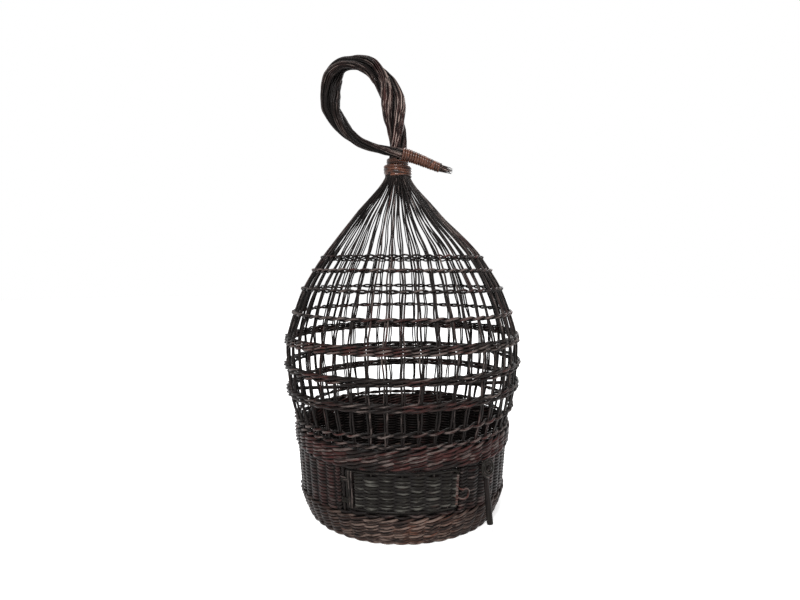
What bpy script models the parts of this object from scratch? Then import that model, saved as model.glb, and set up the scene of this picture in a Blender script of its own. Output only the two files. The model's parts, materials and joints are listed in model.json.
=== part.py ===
"""Models a round birdcage woven from stained willow rods, with a door and a turning peg.

Metres, +Z up. The cage stands on its foot ring, the origin is on the floor under its axis,
and the door faces -Y. Turns are measured from the front towards +X.
"""
import math

import bmesh
import bpy
from mathutils import Vector

# Outline of the stakes' centre lines
FOOT_RADIUS = 0.1170
SILL_RADIUS = 0.1296
WALL_TOP_RADIUS = 0.1352
BELLY_RADIUS = 0.1490
NECK_RADIUS = 0.0150
WALL_HEIGHT = 0.1120
NECK_HEIGHT = 0.4300
# Each row: height above the wall as a share of the crown, radius as a share of the belly
CROWN_SHARES = (
    (0.100, 0.961), (0.245, 0.995), (0.330, 0.999), (0.447, 0.935), (0.541, 0.857), (0.664, 0.691),
    (0.855, 0.338),
)
# The neck leans a little to the left, from this share of the crown up to the other
NECK_SWAY = 0.0055
SWAY_START_SHARE = 0.664
SWAY_END_SHARE = 0.855

# Rods and the space between them
STAKE_COUNT = 48
STAKE_RADIUS = 0.00130
STAKE_TIP_RADIUS = 0.00080
POST_RADIUS = 0.00180
HAIRPIN_BEND = 0.0060
HAIRPIN_SHARE = 0.22
SEAT_GAP = 0.00035
WELD_SHARE = 0.1
ROUND_SIDES = 10
SHARP_EDGE = math.radians(35)
MILLIMETRES = 1000

# Foot, floor and wall
FOOT_HEIGHT = 0.0070
FOOT_EDGE_ROUND = 0.0012
WEAVE_THICKNESS = 0.0019
WEAVE_BUMP = 0.0012
OUTER_ROW_HEIGHT = 0.0062
INNER_ROW_HEIGHT = 0.0150
FLOOR_STICK_RADIUS = 0.0012
FLOOR_STICK_SPACING = 0.0110
FLOOR_STICKS_EACH_WAY = 4
FLOOR_STICK_LAP_SHARE = 0.72
FLOOR_THICKNESS = 0.0030
FLOOR_BUMP = 0.0011
FLOOR_COLUMNS = 24
FLOOR_RINGS = 8

# Hoops of the open crown, from the wall up
HOOP_ROD_RADIUS = 0.0019
FINE_ROD_RADIUS = 0.0014
HOOP_NAMES = ("wall_top", "band_d", "band_c", "band_b", "band_a", "ring_6", "ring_7", "ring_8", "ring_9")
HOOP_HEIGHT_SHARES = (0.012, 0.058, 0.156, 0.245, 0.346, 0.447, 0.541, 0.613, 0.664)
HOOP_TILT_DEGREES = (0.0, 3.0, 1.5, 0.7, 0.5, 0.0, 0.0, 0.0, 0.0)
DOUBLE_HOOPS = ("band_c", "band_b", "band_a")

# Perch
PERCH_RADIUS = 0.0025
PERCH_STUB = 0.0070
PERCH_DROP = 0.0078
PERCH_TILT_DEGREES = 1.6

# Doorway between two posts, and the door in it
POST_STEP = 4
DOORWAY_SILL = 0.0380
DOORWAY_HEADER = 0.0880
HINGE_SIDE_SPACE = 0.0056
EDGE_STAKE_RISE = 0.0060
DOOR_END_GAP = 0.0014
DOOR_ROD_RADIUS = 0.0016
DOOR_POST_GAP = 0.0011
DOOR_CLOSING_GAP = 0.0028
DOOR_ROW_HEIGHT = 0.0069
DOOR_RAIL_POINTS = 9

# Cane ties that the door turns on
CANE_RADIUS = 0.0006
TIE_TURNS = 3
TIE_PITCH = 0.0019
TIE_POINTS = 12
TIE_RUNNING_GAP = 0.0004
TIE_HEIGHT_SHARES = (0.22, 0.78)

# Loop on the free edge of the door
PULL_RADIUS = 0.0011
PULL_REACH = 0.0110
PULL_HEIGHT = 0.0110
PULL_STAND_OFF = 0.0034
PULL_HEIGHT_SHARE = 0.42

# Peg that turns on a pin beside the door
LATCH_TURN_STEPS = 5.5
LATCH_HEIGHT = 0.0840
LATCH_TILT_DEGREES = 7.4
PEG_RADIUS = 0.0030
PEG_LENGTH = 0.0700
PEG_HEAD = 0.0060
PEG_WALL_GAP = 0.0018
PEG_BORE_GAP = 0.0003
BORE_OVERRUN = 0.0200
PIN_RADIUS = 0.0014
PIN_HEAD_RADIUS = 0.0030
PIN_HEAD_LENGTH = 0.0016
BUTTON_CANE_RADIUS = 0.0011
BUTTON_TURNS = 3
BUTTON_POINTS = 16
BUTTON_TURN_GAP = 0.0005

# Handle: a twisted bundle that rises from the neck, loops over and crosses in front
HANDLE_RISE = 0.1240
HANDLE_RADIUS = 0.0155
HANDLE_ROOT = 0.0240
HANDLE_STRANDS = 3
HANDLE_TWISTS = 2.0
HANDLE_POINTS = 34
HANDLE_STRAND_GAP = 0.0006
SMOOTH_STEPS = 24
FINE_SAMPLES = 8
# Each row: sideways, forwards and upwards as shares of the rise, then bundle radius as a share
HANDLE_SHARES = (
    (0.000, 0.000, 0.000, 0.83), (0.000, 0.000, 0.132, 0.82), (-0.002, 0.000, 0.235, 0.83),
    (-0.009, 0.000, 0.328, 0.90), (-0.023, 0.000, 0.431, 1.00), (-0.042, 0.000, 0.543, 1.10),
    (-0.070, 0.000, 0.656, 1.10), (-0.112, 0.000, 0.763, 1.00), (-0.174, 0.000, 0.865, 0.87),
    (-0.263, 0.000, 0.950, 0.82), (-0.377, 0.000, 0.993, 0.72), (-0.491, 0.000, 1.000, 0.61),
    (-0.595, 0.000, 0.973, 0.68), (-0.670, 0.000, 0.893, 0.88), (-0.699, 0.000, 0.789, 0.94),
    (-0.702, 0.000, 0.677, 0.92), (-0.687, 0.000, 0.554, 0.88), (-0.639, 0.000, 0.441, 0.79),
    (-0.573, 0.011, 0.340, 0.67), (-0.492, 0.034, 0.247, 0.55), (-0.396, 0.070, 0.175, 0.46),
    (-0.284, 0.119, 0.125, 0.42), (-0.170, 0.167, 0.084, 0.41), (-0.068, 0.200, 0.052, 0.42),
    (0.023, 0.218, 0.029, 0.44), (0.104, 0.216, 0.007, 0.44), (0.185, 0.210, -0.019, 0.41),
    (0.267, 0.198, -0.049, 0.38), (0.348, 0.185, -0.079, 0.35), (0.431, 0.172, -0.107, 0.32),
    (0.555, 0.155, -0.141, 0.28),
)

# Cane round the neck and round the handle's tail
NECK_CANE_RADIUS = 0.0012
NECK_TURNS = 6
NECK_POINTS = 16
NECK_BINDING_RISE = 0.0200
STAKE_TOP_SHARE = 0.58
TAIL_CANE_RADIUS = 0.0009
TAIL_TURNS = 11
TAIL_POINTS = 8
TAIL_BOUND_SHARES = (0.850, 0.963)

STEP = 2 * math.pi / STAKE_COUNT


def outline():
    """Heights and radii of a stake's centre line, from the floor to the neck."""
    crown = NECK_HEIGHT - WALL_HEIGHT
    points = [(0, FOOT_RADIUS), (DOORWAY_SILL, SILL_RADIUS), (WALL_HEIGHT, WALL_TOP_RADIUS)]
    points += [(WALL_HEIGHT + crown * up, BELLY_RADIUS * out) for up, out in CROWN_SHARES]
    points.append((NECK_HEIGHT, NECK_RADIUS))
    return points


OUTLINE = outline()


def crown_height(share):
    """Height of a share of the crown."""
    return WALL_HEIGHT + share * (NECK_HEIGHT - WALL_HEIGHT)


def radius_at(height):
    """Radius of the stakes' centre line at a height."""
    for (low, low_radius), (high, high_radius) in zip(OUTLINE, OUTLINE[1:]):
        if height <= high:
            return low_radius + (high_radius - low_radius) * (height - low) / (high - low)
    return NECK_RADIUS


def lean_at(height):
    """Outward lean of a stake at a height, in radians."""
    for (low, low_radius), (high, high_radius) in zip(OUTLINE, OUTLINE[1:]):
        if height <= high:
            return math.atan2(high_radius - low_radius, high - low)
    return 0


def stake_radius_at(height):
    """Thickness of a stake, which tapers above the wall."""
    share = min(1, max(0, (height - WALL_HEIGHT) / (NECK_HEIGHT - WALL_HEIGHT)))
    return STAKE_RADIUS + share * (STAKE_TIP_RADIUS - STAKE_RADIUS)


def sway_at(height):
    """How far the cage's middle stands to the left at a height."""
    start, end = crown_height(SWAY_START_SHARE), crown_height(SWAY_END_SHARE)
    return NECK_SWAY * min(1, max(0, (height - start) / (end - start)))


def heading(out, turn, up):
    """Direction with an outward and an upward part, turned from the front towards the right."""
    return Vector((out * math.sin(turn), -out * math.cos(turn), up))


def place(radius, turn, height):
    """Point at a radius and height, turned from the front towards the right."""
    return heading(radius, turn, height) - Vector((sway_at(height), 0, 0))


def wall_normal(turn, height):
    """Direction square to the stakes, away from the axis."""
    lean = lean_at(height)
    return heading(math.cos(lean), turn, -math.sin(lean))


def material(name, colour, roughness):
    """Principled material of one finish."""
    made = bpy.data.materials.new(name)
    made.use_nodes = True
    shader = made.node_tree.nodes["Principled BSDF"]
    shader.inputs["Base Color"].default_value = (*colour, 1)
    shader.inputs["Roughness"].default_value = roughness
    shader.inputs["Metallic"].default_value = 0
    made.diffuse_color = (*colour, 1)
    return made


def add_object(name, data, finish):
    """Links a curve or mesh as a named object."""
    data.materials.append(finish)
    made = bpy.data.objects.new(name, data)
    bpy.context.scene.collection.objects.link(made)
    return made


def rod(name, path, radius, finish, widths=None, resolution=0, closed=False):
    """A round rod along a list of points; widths gives its radius at each of them."""
    curve = bpy.data.curves.new(name, "CURVE")
    curve.dimensions = "3D"
    curve.bevel_depth = radius
    curve.bevel_resolution = resolution
    curve.use_fill_caps = not closed
    curve.twist_mode = "Z_UP" if closed else "MINIMUM"
    spline = curve.splines.new("POLY")
    spline.points.add(len(path) - 1)
    for step, point in enumerate(path):
        spline.points[step].co = (*point, 1)
        if widths:
            spline.points[step].radius = widths[step] / radius
    spline.use_cyclic_u = closed
    return add_object(name, curve, finish)


def as_mesh(curve):
    """The mesh object that takes a rod's place, so that other shapes can be joined to it."""
    name = curve.name
    mesh = bpy.data.meshes.new_from_object(curve)
    bpy.data.objects.remove(curve, do_unlink=True)
    made = bpy.data.objects.new(name, mesh)
    bpy.context.scene.collection.objects.link(made)
    return made


def joined(first, others):
    """One body made of a rod and the rods that cross or meet it."""
    body = as_mesh(first)
    for other in others:
        guide = as_mesh(other)
        guide.hide_render = True
        guide.display_type = "WIRE"
        union = body.modifiers.new(guide.name, "BOOLEAN")
        union.operation = "UNION"
        union.object = guide
    return body


def turn_on(name, point, direction, pieces):
    """Puts an empty on a joint's axis, its Z along the axis, and hangs the moving pieces on it."""
    axis = bpy.data.objects.new(name, None)
    axis.empty_display_type = "SINGLE_ARROW"
    axis.location = point
    axis.rotation_euler = direction.to_track_quat("Z", "Y").to_euler()
    bpy.context.scene.collection.objects.link(axis)
    bpy.context.view_layer.update()
    for piece in pieces:
        piece.parent = axis
        piece.matrix_parent_inverse = axis.matrix_world.inverted()


def solid(name, work, finish):
    """Turns a bmesh into a named object with its faces pointing out."""
    bmesh.ops.remove_doubles(work, verts=work.verts, dist=SEAT_GAP * WELD_SHARE)
    bmesh.ops.recalc_face_normals(work, faces=work.faces)
    mesh = bpy.data.meshes.new(name)
    work.to_mesh(mesh)
    work.free()
    return add_object(name, mesh, finish)


def least_gap(name, points, radius, per_turn):
    """Prints the least gap between neighbouring turns of a winding, measured on its points."""
    half_turn = per_turn // 2
    gap = min((a - b).length for i, a in enumerate(points) for b in points[i + half_turn:])
    print(name, "least gap to itself in mm:", round((gap - 2 * radius) * MILLIMETRES, 2))


def row_heights(low, high, row):
    """Heights of the rows of weave between two levels."""
    count = max(1, round((high - low) / row))
    return [low + (high - low) * step / count for step in range(count + 1)]


def woven_shell(name, turns, storeys, face, back, is_there, finish, wraps):
    """A curved sheet of weave whose face swells over every other stake, row by row.

    storeys holds the row heights of each storey, face and back give radii, and
    is_there(column, storey) tells where there is weave.
    """
    work = bmesh.new()
    columns = len(turns)
    face_points = []
    back_points = []
    row_number = 0
    for heights in storeys:
        storey_face = []
        for height in heights:
            sides = [math.cos(math.pi * (turn / STEP + row_number)) for turn in turns]
            ring = [work.verts.new(place(face(height, side), turn, height))
                    for turn, side in zip(turns, sides)]
            storey_face.append(ring)
            row_number += 1
        row_number -= 1
        face_points.append(storey_face)
        back_points.append([[work.verts.new(place(back(height), turn, height)) for turn in turns]
                            for height in (heights[0], heights[-1])])
    spans = range(columns if wraps else columns - 1)

    def filled(column, storey):
        inside = (wraps or column in spans) and storey in range(len(storeys))
        return inside and is_there(column % columns, storey)

    for storey, rows in enumerate(face_points):
        low, high = back_points[storey]
        for column in spans:
            if not filled(column, storey):
                continue
            after = (column + 1) % columns
            for below, above in zip(rows, rows[1:]):
                work.faces.new((below[column], below[after], above[after], above[column]))
            work.faces.new((low[column], low[after], high[after], high[column]))
            if not filled(column, storey - 1):
                work.faces.new((rows[0][column], rows[0][after], low[after], low[column]))
            if not filled(column, storey + 1):
                work.faces.new((rows[-1][column], rows[-1][after], high[after], high[column]))
            if not filled(column - 1, storey):
                work.faces.new([ring[column] for ring in rows] + [high[column], low[column]])
            if not filled(column + 1, storey):
                work.faces.new([ring[after] for ring in rows] + [high[after], low[after]])
    loose = [vert for vert in work.verts if not vert.link_faces]
    bmesh.ops.delete(work, geom=loose, context="VERTS")
    return solid(name, work, finish)


def outer_face(height, side):
    """Radius of the weave in front of the stakes."""
    return outer_back(height) + WEAVE_THICKNESS + WEAVE_BUMP * side


def outer_back(height):
    """Radius where the front weave meets the stakes."""
    return radius_at(height) + STAKE_RADIUS + SEAT_GAP


def inner_face(height, side):
    """Radius of the weave behind the stakes, on the side of the cage's inside."""
    return inner_back(height) - WEAVE_THICKNESS - WEAVE_BUMP * side


def inner_back(height):
    """Radius where the back weave meets the stakes."""
    return radius_at(height) - STAKE_RADIUS - SEAT_GAP


def stake_path(turn, low, high):
    """Centre line of a stake between two heights."""
    heights = [low] + [height for height, radius in OUTLINE if low < height < high] + [high]
    return [place(radius_at(height), turn, height) for height in heights]


def floor_and_foot(finish):
    """The ring that the cage stands on, and the crossed sticks and woven disc inside it."""
    inside = inner_back(FOOT_HEIGHT) - WEAVE_THICKNESS - WEAVE_BUMP - SEAT_GAP
    outside = outer_face(0, 0)
    work = bmesh.new()
    rings = []
    for column in range(STAKE_COUNT):
        turn = column * STEP
        swell = WEAVE_BUMP * (-1) ** column
        edge = outside - FOOT_EDGE_ROUND
        section = ((inside, 0), (edge, 0), (outside + swell, FOOT_HEIGHT / 2),
                   (edge, FOOT_HEIGHT), (inside, FOOT_HEIGHT))
        rings.append([work.verts.new(place(radius, turn, height)) for radius, height in section])
    for ring, after in zip(rings, rings[1:] + rings[:1]):
        for corner in range(len(ring)):
            following = (corner + 1) % len(ring)
            work.faces.new((ring[corner], ring[following], after[following], after[corner]))
    solid("foot_border", work, finish)

    reach = inside - 2 * SEAT_GAP
    low = FLOOR_STICK_RADIUS + SEAT_GAP
    high = low + 2 * FLOOR_STICK_RADIUS * FLOOR_STICK_LAP_SHARE
    middle = (FLOOR_STICKS_EACH_WAY - 1) / 2
    sticks = []
    for stick in range(FLOOR_STICKS_EACH_WAY):
        aside = (stick - middle) * FLOOR_STICK_SPACING
        half = math.sqrt((reach - FLOOR_STICK_RADIUS) ** 2 - aside ** 2)
        for start, end in ((Vector((-half, aside, low)), Vector((half, aside, low))),
                           (Vector((aside, -half, high)), Vector((aside, half, high)))):
            name = "base_sticks" if not sticks else f"base_stick_{len(sticks)}"
            sticks.append(rod(name, [start, end], FLOOR_STICK_RADIUS, finish))
    joined(sticks[0], sticks[1::2] + sticks[2::2])

    underside = high + FLOOR_STICK_RADIUS + SEAT_GAP
    work = bmesh.new()
    middle_top = work.verts.new((0, 0, underside + FLOOR_THICKNESS))
    rings = []
    for ring in range(1, FLOOR_RINGS + 1):
        radius = reach * ring / FLOOR_RINGS
        rings.append([])
        for column in range(FLOOR_COLUMNS):
            swell = FLOOR_BUMP * (-1) ** (column + ring)
            turn = 2 * math.pi * column / FLOOR_COLUMNS
            rings[-1].append(work.verts.new(place(radius, turn, underside + FLOOR_THICKNESS + swell)))
    rim = [work.verts.new((vert.co.x, vert.co.y, underside)) for vert in rings[-1]]
    for column in range(FLOOR_COLUMNS):
        after = (column + 1) % FLOOR_COLUMNS
        work.faces.new((middle_top, rings[0][column], rings[0][after]))
        for ring, outer in zip(rings, rings[1:] + [rim]):
            work.faces.new((ring[column], outer[column], outer[after], ring[after]))
    work.faces.new(rim)
    solid("base_weave", work, finish)


def rod_between(name, start, end, radius, finish, sides=ROUND_SIDES):
    """A straight round rod as a mesh, for pieces that are bored or that bore others."""
    work = bmesh.new()
    along = end - start
    bmesh.ops.create_cone(work, cap_ends=True, segments=sides, radius1=radius, radius2=radius,
                          depth=along.length)
    work.transform(along.to_track_quat("Z", "Y").to_matrix().to_4x4())
    bmesh.ops.translate(work, verts=work.verts, vec=(start + end) / 2)
    made = solid(name, work, finish)
    made.data.shade_smooth()
    made.data.set_sharp_from_angle(angle=SHARP_EDGE)
    return made


def latch_frame():
    """Centre of the peg on its pin, the direction of the pin outwards, and of the peg downwards."""
    turn = LATCH_TURN_STEPS * STEP
    tilt = math.radians(LATCH_TILT_DEGREES)
    radius = outer_face(LATCH_HEIGHT, 1) + PEG_WALL_GAP + PEG_RADIUS
    outwards = heading(math.cos(tilt), turn, math.sin(tilt))
    downwards = heading(math.sin(tilt), turn, -math.cos(tilt))
    return place(radius, turn, LATCH_HEIGHT), outwards, downwards


def pin_ends():
    """Distances from the peg's centre to the pin's two heads, inwards and outwards."""
    wall_depth = outer_face(LATCH_HEIGHT, 1) - inner_face(LATCH_HEIGHT, 1)
    slant = PIN_HEAD_RADIUS * math.sin(math.radians(LATCH_TILT_DEGREES) + lean_at(LATCH_HEIGHT))
    inwards = PEG_RADIUS + PEG_WALL_GAP + wall_depth / math.cos(math.radians(LATCH_TILT_DEGREES)) + slant
    outwards = PEG_RADIUS + 2 * BUTTON_CANE_RADIUS + 2 * SEAT_GAP
    return inwards, outwards


def cut_pin_hole(*pieces):
    """Bores the pieces that the latch pin passes through."""
    centre, outwards, downwards = latch_frame()
    inside, outside = pin_ends()
    cutter = rod_between("pin_hole_cutter", centre - (inside + BORE_OVERRUN) * outwards,
                         centre + (outside + BORE_OVERRUN) * outwards,
                         PIN_RADIUS + PEG_BORE_GAP, bpy.data.materials["dark bark"])
    cutter.hide_render = True
    cutter.display_type = "WIRE"
    for piece in pieces:
        hole = piece.modifiers.new("pin hole", "BOOLEAN")
        hole.object = cutter


def edge_turn():
    """Where the wall's weave ends beside the hinge post."""
    return -POST_STEP * STEP - HINGE_SIDE_SPACE / radius_at((DOORWAY_SILL + DOORWAY_HEADER) / 2)


def wall(finish):
    """The close weave in front of and behind the stakes, open at the doorway."""
    middle = radius_at((DOORWAY_SILL + DOORWAY_HEADER) / 2)
    turns = [step * STEP for step in range(STAKE_COUNT)]
    # The weave stops short of the hinge post, where the ties turn, and just beyond the closing post
    turns.insert(STAKE_COUNT - POST_STEP, edge_turn())
    turns.insert(POST_STEP + 1, POST_STEP * STEP + (POST_RADIUS + SEAT_GAP) / middle)
    low = FOOT_HEIGHT + SEAT_GAP
    levels = (low, DOORWAY_SILL, DOORWAY_HEADER, WALL_HEIGHT)
    doorway = [step % len(turns) for step in range(-POST_STEP - 1, POST_STEP + 1)]

    def is_there(column, storey):
        return storey != 1 or column not in doorway

    def shell(name, face, back, row):
        storeys = [row_heights(below, above, row) for below, above in zip(levels, levels[1:])]
        return woven_shell(name, turns, storeys, face, back, is_there, finish, True)

    outer = shell("wall_weave_outer", outer_face, outer_back, OUTER_ROW_HEIGHT)
    inner = shell("wall_weave_inner", inner_face, inner_back, INNER_ROW_HEIGHT)
    return outer, inner


def hairpin(first, low, top):
    """Centre line of one rod bent round at its lower end, so that it makes two neighbouring stakes."""
    turns = (first * STEP, (first + 1) * STEP)
    down, up = (stake_path(turn, low + HAIRPIN_BEND, top) for turn in turns)
    under = low + STAKE_RADIUS
    start, end = (place(radius_at(under), turn, under) for turn in turns)
    return down[::-1] + [start.lerp(end, HAIRPIN_SHARE), end.lerp(start, HAIRPIN_SHARE)] + up


def stakes(finish):
    """All the uprights: two posts beside the doorway, and rods doubled at the foot or over the door."""
    foot = FOOT_HEIGHT + SEAT_GAP
    top = NECK_HEIGHT + STAKE_TOP_SHARE * NECK_BINDING_RISE
    over_door = DOORWAY_HEADER + SEAT_GAP
    paths = []
    for first, last, low in ((POST_STEP + 1, STAKE_COUNT - POST_STEP - 1, foot),
                             (1 - POST_STEP, POST_STEP - 1, over_door)):
        for step in range(first, last, 2):
            paths.append(hairpin(step, low, top))
        if (last - first) % 2 == 0:
            paths.append(stake_path(last * STEP, low, top))
    for number, path in enumerate(paths, 1):
        widths = [stake_radius_at(point.z) for point in path]
        rod(f"stakes_{number:02d}", path, STAKE_RADIUS, finish, widths)

    ends = (DOORWAY_SILL - SEAT_GAP, DOORWAY_SILL + SEAT_GAP, DOORWAY_HEADER - SEAT_GAP, over_door)
    for name, side in (("hinge_post", -1), ("closing_post", 1)):
        turn = side * POST_STEP * STEP
        path = stake_path(turn, foot, top)
        widths = [stake_radius_at(point.z) for point in path]
        path[1:1] = [place(radius_at(height), turn, height) for height in ends]
        widths[1:1] = [STAKE_RADIUS, POST_RADIUS, POST_RADIUS, STAKE_RADIUS]
        rod(name, path, STAKE_RADIUS, finish, widths, resolution=1)
    rod("edge_stake", stake_path(edge_turn(), foot, DOORWAY_HEADER + EDGE_STAKE_RISE), STAKE_RADIUS, finish)


def hoop_path(height, rod_radius, tilt, phase):
    """A rod that passes in front of and behind the stakes in turn, once round the cage."""
    path = []
    for step in range(STAKE_COUNT):
        turn = step * STEP
        here = height + radius_at(height) * math.sin(turn) * math.tan(math.radians(tilt))
        spacing = radius_at(here) * STEP
        needed = stake_radius_at(here) + rod_radius + SEAT_GAP
        # The rod slants across each stake, so its centre stands off a little further
        stand_off = needed * spacing / math.sqrt(spacing ** 2 - 4 * needed ** 2)
        side = (-1) ** (step + phase)
        path.append(place(radius_at(here), turn, here) + wall_normal(turn, here) * stand_off * side)
    return path


def hoops(finish):
    """The woven hoops of the crown."""
    for name, share, tilt in zip(HOOP_NAMES, HOOP_HEIGHT_SHARES, HOOP_TILT_DEGREES):
        count, rod_radius = (2, HOOP_ROD_RADIUS) if name in DOUBLE_HOOPS else (1, FINE_ROD_RADIUS)
        middle = crown_height(share)
        pitch = 2 * rod_radius + SEAT_GAP
        heights = [middle + pitch * (number - (count - 1) / 2) for number in range(count)]
        for number, height in enumerate(heights):
            own_name = name if count == 1 else f"{name}_{number + 1}"
            rod(own_name, hoop_path(height, rod_radius, tilt, number), rod_radius, finish, closed=True)


def perch(finish):
    """The straight rod across the cage, behind the side stakes and under a woven hoop."""
    middle = crown_height(HOOP_HEIGHT_SHARES[HOOP_NAMES.index("band_c")]) - PERCH_DROP
    reach = radius_at(middle) + PERCH_STUB
    rise = reach * math.tan(math.radians(PERCH_TILT_DEGREES))
    back = STAKE_RADIUS + PERCH_RADIUS + SEAT_GAP
    ends = [Vector((side * reach, back, middle + side * rise)) for side in (-1, 1)]
    rod("perch", ends, PERCH_RADIUS, finish, resolution=2)


def door_turn(side, height, inset=0):
    """Turn of the door's upright on one side, or of what lies inset from it."""
    gap = DOOR_POST_GAP if side < 0 else DOOR_CLOSING_GAP
    from_post = POST_RADIUS + gap + DOOR_ROD_RADIUS + inset
    return side * (POST_STEP * STEP - from_post / radius_at(height))


def door(weave, bark, cane):
    """The door: a frame bent from one rod, seven short stakes, weave on both sides, and its ties."""
    low = DOORWAY_SILL + DOOR_END_GAP + DOOR_ROD_RADIUS
    high = DOORWAY_HEADER - DOOR_END_GAP - DOOR_ROD_RADIUS
    loop = []
    for height, order in ((low, 1), (high, -1)):
        left = door_turn(-1, height)
        right = door_turn(1, height)
        shares = [step / (DOOR_RAIL_POINTS - 1) for step in range(DOOR_RAIL_POINTS)]
        rail = [place(radius_at(height), left + (right - left) * share, height) for share in shares]
        loop += rail[::order]
    frame = rod("door_frame", loop, DOOR_ROD_RADIUS, bark, resolution=1, closed=True)
    uprights = [step * STEP for step in range(1 - POST_STEP, POST_STEP)]
    bars = [rod("door_stake", stake_path(turn, low, high), STAKE_RADIUS, bark) for turn in uprights]
    pieces = [joined(frame, bars)]

    inside_low = low + DOOR_ROD_RADIUS + SEAT_GAP
    inside_high = high - DOOR_ROD_RADIUS - SEAT_GAP
    inset = DOOR_ROD_RADIUS + TIE_RUNNING_GAP + 2 * CANE_RADIUS + SEAT_GAP
    turns = [door_turn(-1, low, inset)] + uprights + [door_turn(1, low, inset)]
    storeys = [row_heights(inside_low, inside_high, DOOR_ROW_HEIGHT)]
    for name, face, back in (("door_weave_outer", outer_face, outer_back),
                             ("door_weave_inner", inner_face, inner_back)):
        shell = woven_shell(name, turns, storeys, face, back, lambda column, storey: True, weave, False)
        pieces.append(shell)

    for name, share in zip(("hinge_tie_lower", "hinge_tie_upper"), TIE_HEIGHT_SHARES):
        pieces.append(tie(name, low + (high - low) * share, cane))
    pieces.append(pull(low + (high - low) * PULL_HEIGHT_SHARE, cane))
    foot_of_post, head_of_post = (place(radius_at(height), -POST_STEP * STEP, height)
                                  for height in (DOORWAY_SILL, DOORWAY_HEADER))
    turn_on("door_hinge_axis", (foot_of_post + head_of_post) / 2, foot_of_post - head_of_post, pieces)


def tie(name, height, finish):
    """Cane wound round the hinge post and the door's upright, loose enough to turn on the post."""
    post = place(radius_at(height), -POST_STEP * STEP, height)
    upright = place(radius_at(height), door_turn(-1, height), height)
    above = place(radius_at(DOORWAY_HEADER), -POST_STEP * STEP, DOORWAY_HEADER)
    up = (above - post).normalized()
    along = (upright - post).normalized()
    out = along.cross(up)
    post_reach = POST_RADIUS + TIE_RUNNING_GAP + CANE_RADIUS
    door_reach = DOOR_ROD_RADIUS + SEAT_GAP + CANE_RADIUS
    path = []
    for point in range(TIE_TURNS * TIE_POINTS + 1):
        angle = 2 * math.pi * (point + 0.5) / TIE_POINTS
        centre, reach = (upright, door_reach) if math.cos(angle) > 0 else (post, post_reach)
        climb = TIE_PITCH * (point / TIE_POINTS - TIE_TURNS / 2)
        path.append(centre + reach * (along * math.cos(angle) + out * math.sin(angle)) + up * climb)
    least_gap(name, path, CANE_RADIUS, TIE_POINTS)
    return rod(name, path, CANE_RADIUS, finish, resolution=1)


def pull(height, finish):
    """The small loop on the door's free edge, which reaches over the closing post."""
    upright = door_turn(1, height)
    out = wall_normal(upright, height)
    seat = DOOR_ROD_RADIUS + SEAT_GAP
    bend = seat + PULL_RADIUS
    stand_off = outer_face(height, 1) - radius_at(height) + PULL_STAND_OFF
    far = upright + PULL_REACH / radius_at(height)
    near = upright + bend / radius_at(height)
    path = []
    for side in (-1, 1):
        level = height + side * PULL_HEIGHT / 2
        ends = [place(radius_at(level), upright, level) + out * seat,
                place(radius_at(level) + stand_off, near, level),
                place(radius_at(level) + stand_off, far - bend / radius_at(level), level)]
        path += ends if side < 0 else ends[::-1]
    corner = place(radius_at(height) + stand_off, far, height)
    path.insert(3, corner - Vector((0, 0, PULL_HEIGHT / 4)))
    path.insert(4, corner + Vector((0, 0, PULL_HEIGHT / 4)))
    return rod("door_pull", path, PULL_RADIUS, finish, resolution=1)


def latch(bark, cane):
    """The peg, the pin it turns on, and the flat coil of cane that keeps it there."""
    centre, outwards, downwards = latch_frame()
    inside, outside = pin_ends()
    peg = rod_between("latch_peg", centre - PEG_HEAD * downwards,
                      centre + (PEG_LENGTH - PEG_HEAD) * downwards, PEG_RADIUS, bark)
    turn_on("latch_swing_axis", centre, outwards, [peg])
    stations = ((-inside - PIN_HEAD_LENGTH, PIN_HEAD_RADIUS), (-inside - SEAT_GAP, PIN_HEAD_RADIUS),
                (-inside, PIN_RADIUS), (outside, PIN_RADIUS),
                (outside + SEAT_GAP, PIN_HEAD_RADIUS), (outside + PIN_HEAD_LENGTH, PIN_HEAD_RADIUS))
    rod("latch_pin", [centre + outwards * at for at, radius in stations], PIN_RADIUS, bark,
        [radius for at, radius in stations], resolution=2)

    across = outwards.cross(downwards)
    front = centre + outwards * (PEG_RADIUS + SEAT_GAP + BUTTON_CANE_RADIUS)
    pitch = 2 * BUTTON_CANE_RADIUS + BUTTON_TURN_GAP
    inner = PIN_RADIUS + SEAT_GAP + BUTTON_CANE_RADIUS
    path = []
    for point in range(BUTTON_TURNS * BUTTON_POINTS + 1):
        angle = 2 * math.pi * point / BUTTON_POINTS
        radius = inner + pitch * point / BUTTON_POINTS
        path.append(front + radius * (downwards * math.cos(angle) + across * math.sin(angle)))
    least_gap("latch_button", path, BUTTON_CANE_RADIUS, BUTTON_POINTS)
    rod("latch_button", path, BUTTON_CANE_RADIUS, cane, resolution=1)
    return peg


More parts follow.
